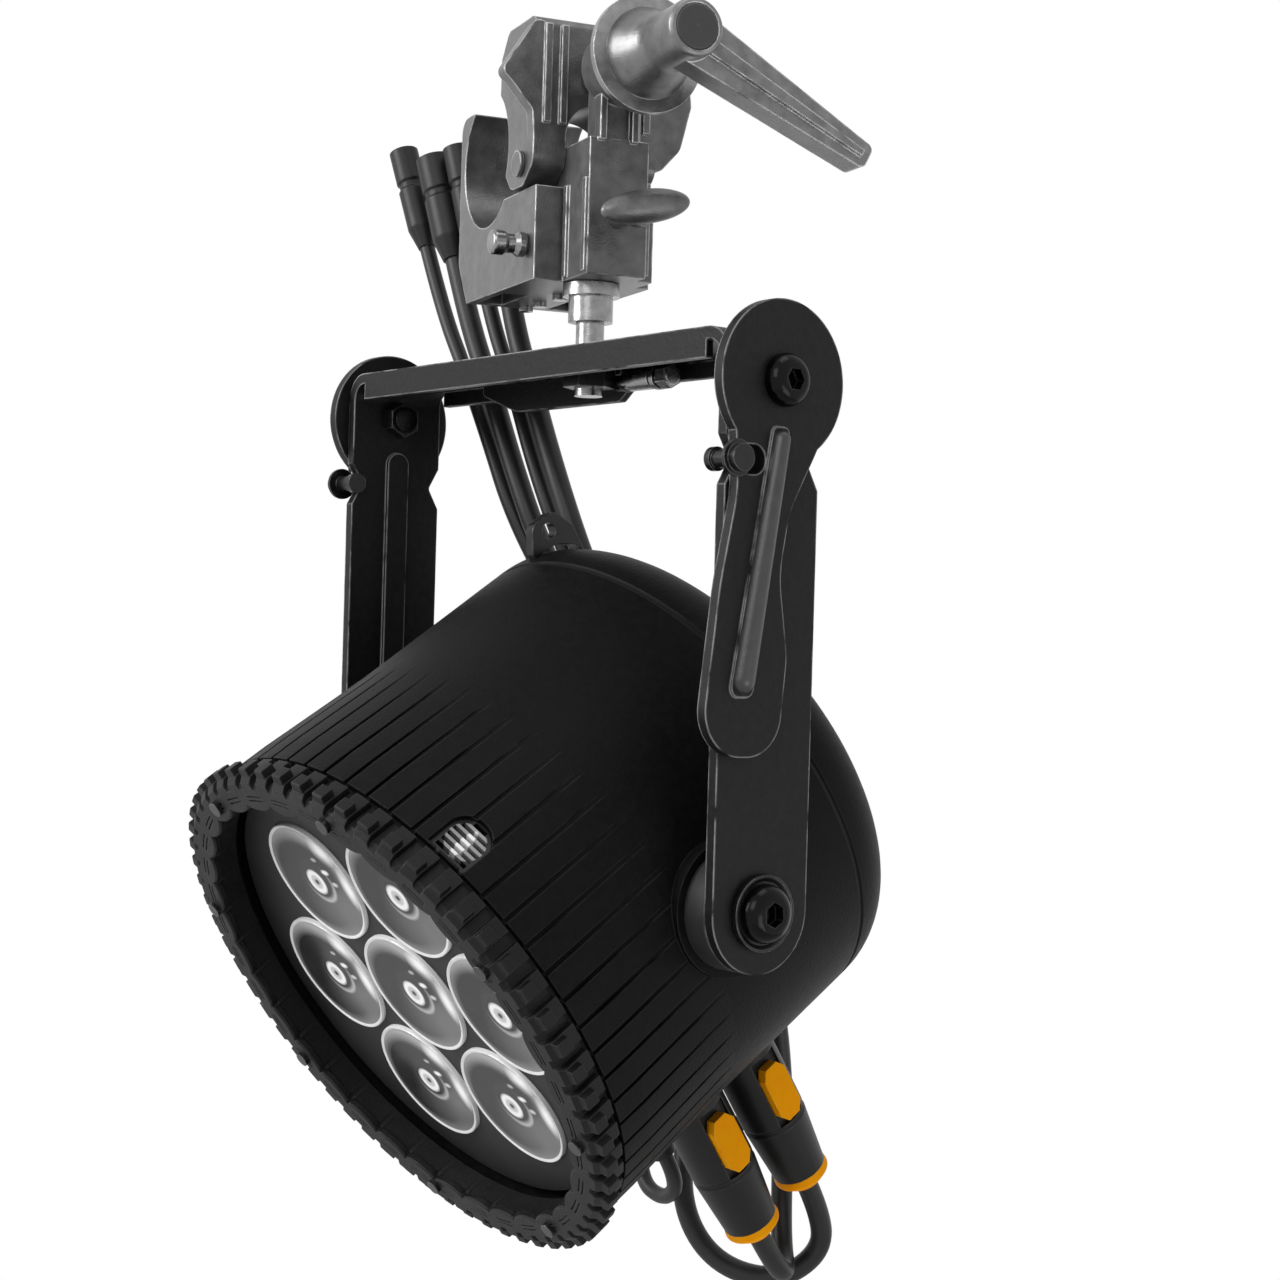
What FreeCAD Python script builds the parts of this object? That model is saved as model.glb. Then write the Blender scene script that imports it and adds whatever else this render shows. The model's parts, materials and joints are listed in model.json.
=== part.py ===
"""Stage par can light hung from a pipe clamp, in millimetres, +Z up.

The row's frame has its origin on the axis of the pipe that the clamp grips. The lamp
faces -Y, and its yoke turns about a vertical stud in the clamp's socket. Three local
frames are used: the clamp's (x along the pipe), the yoke's (origin on the tilt axis)
and the head's (the yoke's frame turned by the rest tilt, with the optical axis on Y).
"""
import FreeCAD, Part
import math
import os

import Sketcher

Vector = FreeCAD.Vector
Rotation = FreeCAD.Rotation
Placement = FreeCAD.Placement

os.makedirs("parts", exist_ok=True)
doc = FreeCAD.newDocument("ParCan")

# ---------------------------------------------------------------- driving dimensions

SIZES = {
    # layout
    "pipe_diameter": 50.8,       # two inch lighting pipe
    "pipe_height": 262.3,        # pipe axis above the tilt axis
    "stud_to_pipe": 50,          # stud axis in front of the pipe axis
    "stud_offset": 15,           # stud hole beside the middle of the crossbar
    "pan_rest": 75,              # turn of the pipe from the tilt axis, degrees
    "tilt_rest": 33.5,           # nose-down angle, degrees
    "clearance": 0.3,            # air between pieces that move past each other
    "running_fit": 0.06,         # radial clearance of a pin in its bearing
    # clamp
    "socket_width": 22,
    "socket_front": 22,          # front face ahead of the stud axis
    "socket_top": 4,             # block top below the pipe axis
    "clamp_floor": 51,           # clamp underside below the pipe axis
    "saddle_width": 44,
    "saddle_rear": 30,           # rear face behind the pipe axis
    "saddle_top": 18,            # saddle shoulders below the pipe axis
    "hook_top": 20,              # rear hook above the pipe axis
    "jaw_width": 47,
    "jaw_face": 50,              # jaw front ahead of the pipe axis
    "jaw_top": 41.5,
    "jaw_wing": 36,              # tips of the jaw's wings beside its middle
    "jaw_pin_radius": 3,
    "jaw_pin_ahead": 38,         # jaw pin in front of the pipe axis
    "jaw_pin_below": 9,          # and below it
    "screw_radius": 6,
    "screw_height": 20.5,         # clamp screw above the pipe axis
    "boss_radius": 13,
    "boss_rear": 67,             # boss rear face ahead of the pipe axis
    "boss_length": 24,
    "flange_radius": 20,
    "flange_thickness": 3,
    "hub_length": 38,
    "hub_radius": 9.6,
    "lever_length": 75.5,
    "lever_tip": 4.2,            # half the height of the lever's tip
    "lever_thickness": 10.5,
    "lever_drop": 26.3,          # lever below the horizontal, degrees
    "cap_radius": 7.6,
    "wing_height": 31,           # wing screw below the pipe axis
    "wing_shank_radius": 4,
    "wing_span": 33,
    "wing_reach": 18,            # wing ahead of the socket's front face
    "pin_height": 38,            # release pin below the pipe axis
    "pin_radius": 3,
    "pin_behind": 8.6,           # release pin behind the stud axis
    # stud
    "spigot_radius": 7.9,
    "spigot_length": 40,
    "groove_radius": 5.3,        # neck that the release pin lies across
    "collar_radius": 10,
    "collar_thickness": 4.5,
    "stud_radius": 5,
    "stud_body_radius": 7.9,
    "stud_body_length": 9,
    "stud_hex_flats": 16,
    # yoke
    "leg_air": 7.2,              # between the bezel and each leg
    "sheet": 4,
    "leg_width": 40,
    "bar_top": 186.5,            # crossbar top above the tilt axis
    "bend_radius": 10,
    "flange_depth": 6,           # turned-down edges of the crossbar
    "flange_short": 7,           # flanges end this far inside the legs
    "stiffener_left": 70,
    "stiffener_right": 23,
    "stiffener_depth": 11.5,
    "notch_height": 144,
    "notch_depth": 4.5,
    "notch_half": 8,
    "bead_width": 9.5,
    "bead_top": 157,
    "bead_bottom": 44,
    "corner_height": 170,        # foot pivot above the tilt axis
    "corner_bolt_radius": 5,
    "tilt_bolt_radius": 5,
    # swing-out feet
    "foot_thickness": 4,
    "foot_head_radius": 26,
    "foot_slot_height": 9.5,
    "foot_bolt_radius": 3,
    "foot_rib": 1.6,             # rib proud of the foot
    "far_foot_lean": 7,          # the left foot hangs straight down, degrees
    "foot_bolt_ahead": 19.5,     # lock bolt in front of the leg's middle
    # head
    "bezel_front": 81.7,         # bezel front ahead of the tilt axis
    "bezel_depth": 11.5,
    "bezel_lip": 5,              # bezel rim proud of the body
    "bezel_inset": 9.5,          # bezel opening inside the body's radius
    "bezel_screw_inset": 10.3,   # bezel screws inside the rim
    "notch_count": 36,           # notches round the bezel's inner edge
    "bezel_notch": 4,
    "tooth_depth": 4.7,
    "knob_height": 2.8,          # knobs on the teeth, near the front
    "knob_length": 5,
    "tooth_count": 60,
    "gasket": 1.5,
    "body_front_radius": 96.5,
    "body_flare": 0.8,           # radius gained between bezel and rear seam
    "rear_seam": 55.8,           # seam behind the tilt axis
    "rear_depth": 27,
    "rear_round": 15,
    "wall": 3,
    "rib_count": 60,
    "rib_height": 1.8,
    "rib_fade": 100,             # length over which the ribs sink into the body
    "boss_pad_radius": 23,
    "spacer": 9.4,               # between boss pad and leg
    "lens_margin": 11.8,         # between the outer lenses and the opening
    "lens_gap": 2.3,
    "lens_recess": 15,           # lens plate front behind the bezel front
    "lens_depth": 24,
    "led_radius": 6,
    "board_margin": 11.1,        # LED board inside the housing's bore
    "board_thickness": 1.6,
    "sink_base": 6,
    "fin_margin": 31.1,
    "fin_height": 26,
    "fin_spread": 56,
    "card_width": 90,            # driver board
    "card_height": 104,
    "rear_screw_inset": 22.1,
    "eye_thickness": 4,          # safety eye on the rear cover
    "eye_hole": 3,
    # connectors
    "plug_radius": 13,
    "plug_pitch": 30.4,
    "plug_rear": 39.7,           # rear power plug behind the tilt axis
    "plug_length": 78,
    "data_radius": 9.5,
    "data_side": 38,             # data sockets beside the power sockets
    "data_length": 56,
    "power_cable": 8.6,
    "data_cable": 6.4,
}

sheet = doc.addObject("Spreadsheet::Sheet", "Sizes")
for row, (alias, number) in enumerate(SIZES.items(), start=1):
    sheet.set(f"A{row}", alias)
    sheet.set(f"B{row}", str(number))
    sheet.setAlias(f"B{row}", alias)
doc.recompute()


class Size(float):
    """A number that remembers the sheet expression it comes from."""

    def __new__(cls, value, words):
        size = float.__new__(cls, value)
        size.words = words
        return size

    def joined(self, value, sign, left, right):
        return Size(value, f"({words_of(left)} {sign} {words_of(right)})")

    def __add__(self, other):
        return self.joined(float(self) + other, "+", self, other)

    def __radd__(self, other):
        return self.joined(other + float(self), "+", other, self)

    def __sub__(self, other):
        return self.joined(float(self) - other, "-", self, other)

    def __rsub__(self, other):
        return self.joined(other - float(self), "-", other, self)

    def __mul__(self, other):
        return self.joined(float(self) * other, "*", self, other)

    def __rmul__(self, other):
        return self.joined(other * float(self), "*", other, self)

    def __truediv__(self, other):
        return self.joined(float(self) / other, "/", self, other)

    def __neg__(self):
        return Size(-float(self), f"(-{self.words})")


def words_of(value):
    """The expression that stands for a value in the sheet's language."""
    return value.words if isinstance(value, Size) else f"{float(value):.9g}"


class Sizes:
    """Attribute access to the sheet: S.sheet is the cell called sheet."""

    def __getattr__(self, alias):
        return Size(float(sheet.get(alias)), f"Sizes.{alias}")


S = Sizes()

# ---------------------------------------------------------------- local frames

pan = math.radians(S.pan_rest)
TILT_AXIS = Vector(
    S.stud_to_pipe * math.sin(pan) - S.stud_offset,
    -S.stud_to_pipe * math.cos(pan),
    -S.pipe_height,
)
CLAMP = Placement(Vector(0, 0, 0), Rotation(Vector(0, 0, 1), float(S.pan_rest)))
YOKE = Placement(TILT_AXIS, Rotation())
HEAD = Placement(TILT_AXIS, Rotation(Vector(1, 0, 0), float(S.tilt_rest)))

# Radii that follow the housing's front radius.
BEZEL_RADIUS = S.body_front_radius + S.bezel_lip
REAR_RADIUS = S.body_front_radius + S.body_flare
BORE_RADIUS = REAR_RADIUS - S.wall
OPENING_RADIUS = S.body_front_radius - S.bezel_inset
LENS_RADIUS = (OPENING_RADIUS - S.lens_margin - S.lens_gap) / 3
LENS_PITCH = LENS_RADIUS * 2 + S.lens_gap
LEG_INNER = BEZEL_RADIUS + S.leg_air
LEG_FACE = LEG_INNER + S.sheet
PAD_FACE = LEG_INNER - S.clearance - S.spacer

X_AXIS = Vector(1, 0, 0)
Y_AXIS = Vector(0, 1, 0)
Z_AXIS = Vector(0, 0, 1)


# ---------------------------------------------------------------- building blocks

finished = []


def bind(item, name, value):
    """Set a property, through the sheet where the value comes from it."""
    if isinstance(value, Size):
        item.setExpression(name, value.words)
    else:
        setattr(item, name, value)


def finish(item, label, frame=Placement()):
    """Name a sub-part, place it in the row's frame and list it for export."""
    item.Label = label
    item.Placement = frame.multiply(item.Placement)
    finished.append(item)
    return item


def along(direction, at=(0, 0, 0), home=Z_AXIS):
    """The placement that turns the home axis to a direction and moves it to a point."""
    return Placement(Vector(*at), Rotation(home, Vector(*direction)))


def cylinder(radius, height, at=(0, 0, 0), direction=(0, 0, 1)):
    item = doc.addObject("Part::Cylinder", "Cylinder")
    bind(item, "Radius", radius)
    bind(item, "Height", height)
    item.Placement = along(direction, at)
    return item


def block(low, high):
    """A box between two corners."""
    item = doc.addObject("Part::Box", "Box")
    for name, start, end in zip(("Length", "Width", "Height"), low, high):
        bind(item, name, end - start)
    item.Placement.Base = Vector(*low)
    return item


def prism(flats, height, at=(0, 0, 0), direction=(0, 0, 1)):
    """A hexagonal bar, given by its width over the flats."""
    item = doc.addObject("Part::Prism", "Hexagon")
    item.Polygon = 6
    bind(item, "Circumradius", flats / math.sqrt(3))
    bind(item, "Height", height)
    item.Placement = along(direction, at)
    return item


def fuse(*pieces):
    item = doc.addObject("Part::MultiFuse", "Fuse")
    item.Shapes = list(pieces)
    return item


def cut(base, *tools):
    item = doc.addObject("Part::Cut", "Cut")
    item.Base = base
    item.Tool = tools[0] if len(tools) == 1 else fuse(*tools)
    return item


def common(*pieces):
    item = doc.addObject("Part::MultiCommon", "Common")
    item.Shapes = list(pieces)
    return item


def group(*pieces):
    """Several separate solids that share one node."""
    item = doc.addObject("Part::Compound", "Group")
    item.Links = list(pieces)
    return item


def outline(points):
    """Lines and arcs round a closed outline; a third number in a point rounds it."""
    corners = []
    count = len(points)
    for index, point in enumerate(points):
        here = Vector(point[0], point[1], 0)
        radius = point[2] if len(point) > 2 else 0
        if not radius:
            corners.append((here, None, here))
            continue
        before = Vector(*points[index - 1][:2], 0) - here
        after = Vector(*points[(index + 1) % count][:2], 0) - here
        before.normalize()
        after.normalize()
        half = before.getAngle(after) / 2
        middle = (before + after).normalize()
        centre = here + middle * (radius / math.sin(half))
        reach = radius / math.tan(half)
        corners.append((here + before * reach, centre - middle * radius, here + after * reach))
    edges = []
    for index, (start, crown, end) in enumerate(corners):
        if crown is not None:
            edges.append(Part.Arc(start, crown, end))
        following = corners[(index + 1) % count][0]
        if end.distanceToPoint(following) > 1e-6:
            edges.append(Part.LineSegment(end, following))
    return edges


def plane_of(body, role):
    return [item for item in body.Origin.OriginFeatures if item.Role == role][0]


def sketch_on(body, role, geometry, offset=0):
    sketch = body.newObject("Sketcher::SketchObject", "Sketch")
    sketch.AttachmentSupport = [(plane_of(body, role), "")]
    sketch.MapMode = "FlatFace"
    if isinstance(offset, Size):
        sketch.setExpression("AttachmentOffset.Base.z", offset.words)
    else:
        sketch.AttachmentOffset = Placement(Vector(0, 0, offset), Rotation())
    for edge in geometry:
        sketch.addGeometry(edge, False)
    return sketch


def fix_corners(sketch, points):
    """Hold every corner of a straight-sided sketch at its sheet values."""
    for index, point in enumerate(points):
        for kind, value in zip(("DistanceX", "DistanceY"), point):
            place = sketch.addConstraint(
                Sketcher.Constraint(kind, -1, 1, index, 1, float(value))
            )
            if isinstance(value, Size):
                sketch.setExpression(f"Constraints[{place}]", value.words)


def plate(role, points, thickness, offset=0, middle=False):
    """A body padded from an outline on one of its own origin planes."""
    body = doc.addObject("PartDesign::Body", "Body")
    sketch = sketch_on(body, role, outline(points), offset)
    if all(len(point) == 2 for point in points):
        fix_corners(sketch, points)
    pad = body.newObject("PartDesign::Pad", "Pad")
    pad.Profile = sketch
    bind(pad, "Length", thickness)
    pad.Midplane = middle
    body.Tip = pad
    return body


def turned(points, frame=Placement()):
    """A body turned about its own Y axis from (radius, height) points."""
    body = doc.addObject("PartDesign::Body", "Turned")
    sketch = sketch_on(body, "XY_Plane", outline(points))
    if all(len(point) == 2 for point in points):
        fix_corners(sketch, points)
    turn = body.newObject("PartDesign::Revolution", "Revolution")
    turn.Profile = sketch
    turn.ReferenceAxis = (sketch, ["V_Axis"])
    turn.Angle = 360
    body.Tip = turn
    body.Placement = frame
    return body


def tube(points, diameter):
    """A cable along straight runs joined by tangent arcs, with its smallest radius."""
    corners = [Vector(*point) for point in points]
    runs = [(b - a).Length for a, b in zip(corners, corners[1:])]
    edges = []
    start = corners[0]
    radii = []
    for index in range(1, len(corners) - 1):
        here = corners[index]
        back = (corners[index - 1] - here).normalize()
        ahead = (corners[index + 1] - here).normalize()
        half = (math.pi - back.getAngle(ahead)) / 2
        reach = 0.45 * min(runs[index - 1], runs[index])
        radius = reach / math.tan(half)
        radii.append(radius)
        middle = (back + ahead).normalize()
        crown = here + middle * (radius / math.cos(half) - radius)
        edges.append(Part.LineSegment(start, here + back * reach).toShape())
        edges.append(Part.Arc(here + back * reach, crown, here + ahead * reach).toShape())
        start = here + ahead * reach
    edges.append(Part.LineSegment(start, corners[-1]).toShape())
    path = Part.Wire(edges)
    section = Part.Wire(Part.makeCircle(diameter / 2, corners[0], corners[1] - corners[0]))
    shape = path.makePipeShell([section], True, False)
    item = doc.addObject("Part::Feature", "Cable")
    item.Shape = shape
    full = math.pi * diameter**2 / 4 * path.Length
    print(
        f"cable: length {path.Length:.1f}, radii {min(radii):.1f} to {max(radii):.1f},"
        f" volume {shape.Volume / full:.4f} of section times length"
    )
    return item


# ---------------------------------------------------------------- clamp

PIPE_RADIUS = S.pipe_diameter / 2
STUD = (0, -S.stud_to_pipe)
SOCKET_FACE = -(S.stud_to_pipe + S.socket_front)
SCREW = (0, S.screw_height)
SHOULDER = S.socket_width / 2 + S.clearance


def clamp_body():
    """One casting: stud socket, saddle, rear hook and the boss of the clamp screw."""
    half = S.socket_width / 2
    wide = S.saddle_width / 2
    socket = block((-half, SOCKET_FACE, -S.clamp_floor), (half, -PIPE_RADIUS - 4, -S.socket_top))
    saddle = block((-wide, -S.stud_to_pipe, -S.clamp_floor), (wide, 20, -S.saddle_top))
    hook = plate(
        "YZ_Plane",
        [
            (0, -S.clamp_floor),
            (20, -S.clamp_floor),
            (S.saddle_rear, 16 - S.clamp_floor, 8),
            (S.saddle_rear, S.hook_top, 6),
            (PIPE_RADIUS - 9, S.hook_top),
            (0, 0),
        ],
        S.saddle_width,
        middle=True,
    )
    neck = block(
        (-8, SOCKET_FACE + 1, -S.socket_top - 1),
        (8, -S.jaw_face - 12, S.screw_height),
    )
    struts = [
        block(
            (x - 1.2, SOCKET_FACE - 2, -S.socket_top - 1),
            (x + 1.2, SOCKET_FACE + 3, S.screw_height),
        )
        for x in (-7, 5)
    ]
    boss = cylinder(
        S.boss_radius, S.boss_length, (0, -S.boss_rear - S.boss_length, S.screw_height), (0, 1, 0)
    )
    ribs = [
        block(
            (side * half - 1.2, y - 1.4, -S.clamp_floor + 1),
            (side * half + 1.2, y + 1.4, -S.saddle_top),
        )
        for side in (-1, 1)
        for y in (SOCKET_FACE + 1.6, SOCKET_FACE + S.socket_front - 3)
    ]
    heel = block(
        (half - 1, SOCKET_FACE + 8, -S.clamp_floor),
        (half + 6, -PIPE_RADIUS, 22 - S.clamp_floor),
    )
    pipe = cylinder(PIPE_RADIUS, S.saddle_width + 20, (-wide - 10, 0, 0), (1, 0, 0))
    bore = cylinder(
        S.spigot_radius + S.running_fit, S.spigot_length + 1,
        (*STUD, -S.clamp_floor - 1),
    )
    screw_hole = cylinder(
        S.screw_radius + S.running_fit, S.boss_length + 30,
        (0, -S.boss_rear - S.boss_length - 5, S.screw_height), (0, 1, 0),
    )
    wing_hole = cylinder(
        S.wing_shank_radius + S.running_fit, S.socket_front + 5,
        (0, SOCKET_FACE - 5, -S.wing_height), (0, 1, 0)
    )
    pin_hole = cylinder(
        S.pin_radius + S.running_fit, wide + 3,
        (-wide - 1, STUD[1] + S.pin_behind, -S.pin_height), (1, 0, 0)
    )
    jaw_pin = cylinder(
        S.jaw_pin_radius, S.socket_width + 10,
        (-half - 5, -S.jaw_pin_ahead, -S.jaw_pin_below), (1, 0, 0),
    )
    lightening = [
        block((side * 14 - 5, -12, -S.clamp_floor - 1), (side * 14 + 5, 16, -S.clamp_floor + 12))
        for side in (-1, 1)
    ]
    solid = fuse(socket, saddle, hook, neck, boss, heel, *struts, *ribs)
    holes = [pipe, bore, screw_hole, wing_hole, pin_hole, jaw_pin, *lightening]
    finish(cut(solid, *holes), "clamp_body", CLAMP)


def clamp_jaw():
    """The swinging front jaw: a hook over the pipe with two winged lugs on a pin."""
    lug = 8
    ahead = -S.jaw_pin_ahead
    below = -S.jaw_pin_below
    profile = [
        (-PIPE_RADIUS * 0.62, S.screw_height),
        (-PIPE_RADIUS * 0.62, S.jaw_top - 9, 3),
        (-PIPE_RADIUS * 0.9, S.jaw_top, 5),
        (-S.jaw_face, S.jaw_top, 4),
        (-S.jaw_face, below - 1, 6),
        (ahead - 2, below - lug, 4),
        (ahead + 9, below - lug, 6),
        (-PIPE_RADIUS + 2, below - 2),
        (-PIPE_RADIUS + 6, 0),
    ]
    web = plate("YZ_Plane", profile, S.jaw_width, middle=True)
    tip = S.jaw_wing
    wings = [
        plate(
            "XZ_Plane",
            [
                (-19, S.jaw_top - 3),
                (-23, S.jaw_top - 1, 3),
                (-tip, S.jaw_top - 21, 3),
                (4 - tip, 17, 3),
                (12 - tip, 8, 4),
                (13 - tip, below, 2),
                (-19, below + 3),
            ],
            6,
            offset=S.jaw_face - 6,
        ),
        plate(
            "XZ_Plane",
            [
                (19, S.jaw_top - 3),
                (23, S.jaw_top - 5, 3),
                (tip, S.jaw_top - 17, 4),
                (tip + 1, 16, 3),
                (tip - 3, 0, 8),
                (25, below, 3),
                (19, below + 3),
            ],
            6,
            offset=S.jaw_face - 6,
        ),
    ]
    ribs = [
        block((x - 1.3, -S.jaw_face - 1.6, 4), (x + 1.3, -S.jaw_face + 1, S.jaw_top - 3))
        for x in (-19, -13, 13, 19)
    ]
    pipe = cylinder(PIPE_RADIUS, S.jaw_width + 20, (-S.jaw_width / 2 - 10, 0, 0), (1, 0, 0))
    arch_top = cylinder(SHOULDER, S.jaw_face, (0, -S.jaw_face - 5, 0), (0, 1, 0))
    arch = block((-SHOULDER, -S.jaw_face - 5, -40), (SHOULDER, 0, 0))
    hole = cylinder(
        S.jaw_pin_radius + S.running_fit, S.jaw_width + 2,
        (-S.jaw_width / 2 - 1, ahead, below), (1, 0, 0),
    )
    finish(cut(fuse(web, *wings, *ribs), pipe, arch, arch_top, hole), "clamp_jaw", CLAMP)


def jaw_pin():
    length = S.jaw_width
    ahead = (-length / 2, -S.jaw_pin_ahead, -S.jaw_pin_below)
    pin = cylinder(S.jaw_pin_radius, length, ahead, (1, 0, 0))
    heads = [
        cylinder(S.jaw_pin_radius + 1.6, 1.5, (x, ahead[1], ahead[2]), (1, 0, 0))
        for x in (-length / 2 - 1.8, length / 2 + 0.3)
    ]
    tips = [
        cylinder(S.jaw_pin_radius, 0.6, (x, ahead[1], ahead[2]), (1, 0, 0))
        for x in (-length / 2 - 0.5, length / 2 - 0.1)
    ]
    finish(fuse(pin, *heads, *tips), "jaw_pin", CLAMP)


HUB_BACK = -(S.boss_rear + S.boss_length + S.clearance + S.flange_thickness)


def lever():
    """Clamp screw, thrust flange, and the hub and arm that turn it."""
    tip = -S.jaw_face - S.clearance
    screw = cylinder(
        S.screw_radius, tip - HUB_BACK + 20, (0, HUB_BACK - 20, S.screw_height), (0, 1, 0)
    )
    finish(screw, "clamp_screw", CLAMP)
    flange = cut(
        cylinder(S.flange_radius, S.flange_thickness, (0, HUB_BACK, S.screw_height), (0, 1, 0)),
        cylinder(S.screw_radius, S.flange_thickness, (0, HUB_BACK, S.screw_height), (0, 1, 0)),
    )
    finish(flange, "thrust_washer", CLAMP)
    hub = turned(
        [
            (S.screw_radius, 0),
            (S.flange_radius - 4.5, 0),
            (S.flange_radius - 5.5, 3, 3),
            (S.hub_radius, 15, 10),
            (S.hub_radius, S.hub_length, 1.5),
            (S.cap_radius, S.hub_length),
            (S.cap_radius, S.hub_length - 3),
            (0, S.hub_length - 3),
            (0, 20),
            (S.screw_radius, 20),
        ],
        along((0, -1, 0), (0, HUB_BACK, S.screw_height), Y_AXIS),
    )
    root = S.hub_radius - 0.6
    arm = plate(
        "XZ_Plane",
        [
            (2, -root),
            (2, root),
            (S.lever_length, S.lever_tip, 2.5),
            (S.lever_length, -S.lever_tip, 2.5),
        ],
        S.lever_thickness,
        offset=-HUB_BACK + S.hub_length - 17,
    )
    crest = plate(
        "XZ_Plane",
        [(6, -2.6), (6, 2.6), (S.lever_length - 3, 1.2), (S.lever_length - 3, -1.2)],
        S.lever_thickness + 2.5,
        offset=-HUB_BACK + S.hub_length - 18.2,
    )
    for piece in (arm, crest):
        piece.Placement = Placement(
            Vector(0, 0, S.screw_height), Rotation(Y_AXIS, float(S.lever_drop))
        )
    room = cylinder(
        S.cap_radius, S.hub_length - 20, (0, HUB_BACK - 20, S.screw_height), (0, -1, 0)
    )
    thread = cylinder(S.screw_radius, 20.0, (0, HUB_BACK, S.screw_height), (0, -1, 0))
    finish(fuse(hub, cut(fuse(arm, crest), thread, room)), "lever_arm", CLAMP)
    cap = turned(
        [(0, 0), (S.cap_radius, 0), (S.cap_radius, 3.4, 1), (0, 3.8)],
        along((0, -1, 0), (0, HUB_BACK - S.hub_length + 3, S.screw_height), Y_AXIS),
    )
    finish(cap, "lever_cap", CLAMP)


def wing_screw():
    """The oval-headed screw that locks the stud in its socket."""
    start = STUD[1] - S.spigot_radius - S.clearance
    face = SOCKET_FACE - S.wing_reach
    shank = cylinder(
        S.wing_shank_radius, start - face + 4, (0, face - 4, -S.wing_height), (0, 1, 0)
    )
    neck = cylinder(S.wing_shank_radius + 2, 4, (0, face - 2, -S.wing_height), (0, 1, 0))
    wing = doc.addObject("Part::Ellipsoid", "Wing")
    bind(wing, "Radius2", S.wing_span / 2)
    wing.Radius3 = 4.6
    wing.Radius1 = 5.8
    wing.Placement = Placement(
        Vector(0, face - 5.5, -S.wing_height), Rotation(Y_AXIS, -12)
    )
    finish(fuse(shank, neck, wing), "wing_screw", CLAMP)


def release_pin():
    """The sprung pin that keeps the stud in, with its bright thimble."""
    wide = S.saddle_width / 2
    y = STUD[1] + S.pin_behind
    pin = cylinder(S.pin_radius, wide + 4, (-wide - 3, y, -S.pin_height), (1, 0, 0))
    thimble = turned(
        [(0, 0), (4.4, 0, 1), (4.4, 3), (3.4, 4.5), (3.4, 7), (4.4, 8.5), (4.4, 13, 1.4), (0, 13)],
        along((-1, 0, 0), (-wide - S.clearance, y, -S.pin_height), Y_AXIS),
    )
    finish(fuse(pin, thimble), "release_pin", CLAMP)


def base_screws():
    heads = [
        cylinder(2.6, 2, (x, y, -S.clamp_floor - 2))
        for x, y in ((0, 0), (0, 14), (0, -20))
    ]
    finish(group(*heads), "base_screws", CLAMP)


# ---------------------------------------------------------------- stud and yoke

BAR_UNDER = S.bar_top - S.sheet
CLAMP_UNDER = S.pipe_height - S.clamp_floor


def stud():
    """The turned spigot that carries the yoke, and its two nuts on the crossbar."""
    collar = CLAMP_UNDER - S.clearance
    body_low = collar - S.collar_thickness - S.stud_body_length
    foot = BAR_UNDER - 11
    groove = S.pipe_height - S.pin_height
    reach = S.pin_radius + 0.5
    profile = [
        (0, foot),
        (S.stud_radius, foot),
        (S.stud_radius, body_low),
        (S.stud_body_radius, body_low),
        (S.stud_body_radius, collar - S.collar_thickness),
        (S.collar_radius, collar - S.collar_thickness),
        (S.collar_radius, collar),
        (S.spigot_radius, collar),
        (S.spigot_radius, groove - reach),
        (S.groove_radius, groove - reach),
        (S.groove_radius, groove + reach),
        (S.spigot_radius, groove + reach),
        (S.spigot_radius, collar + S.spigot_length - 1),
        (0, collar + S.spigot_length - 1),
    ]
    stand = along((0, 0, 1), (S.stud_offset, 0, 0), Y_AXIS)
    finish(turned(profile, stand), "stud", YOKE)
    hole = cylinder(S.stud_radius, 40, (S.stud_offset, 0, BAR_UNDER - 15))
    nuts = [
        cylinder(S.stud_radius + 2.4, 2.4, (S.stud_offset, 0, S.bar_top)),
        prism(S.stud_hex_flats, 8, (S.stud_offset, 0, BAR_UNDER - 8)),
    ]
    finish(cut(fuse(*nuts), hole), "stud_nuts", YOKE)


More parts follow.
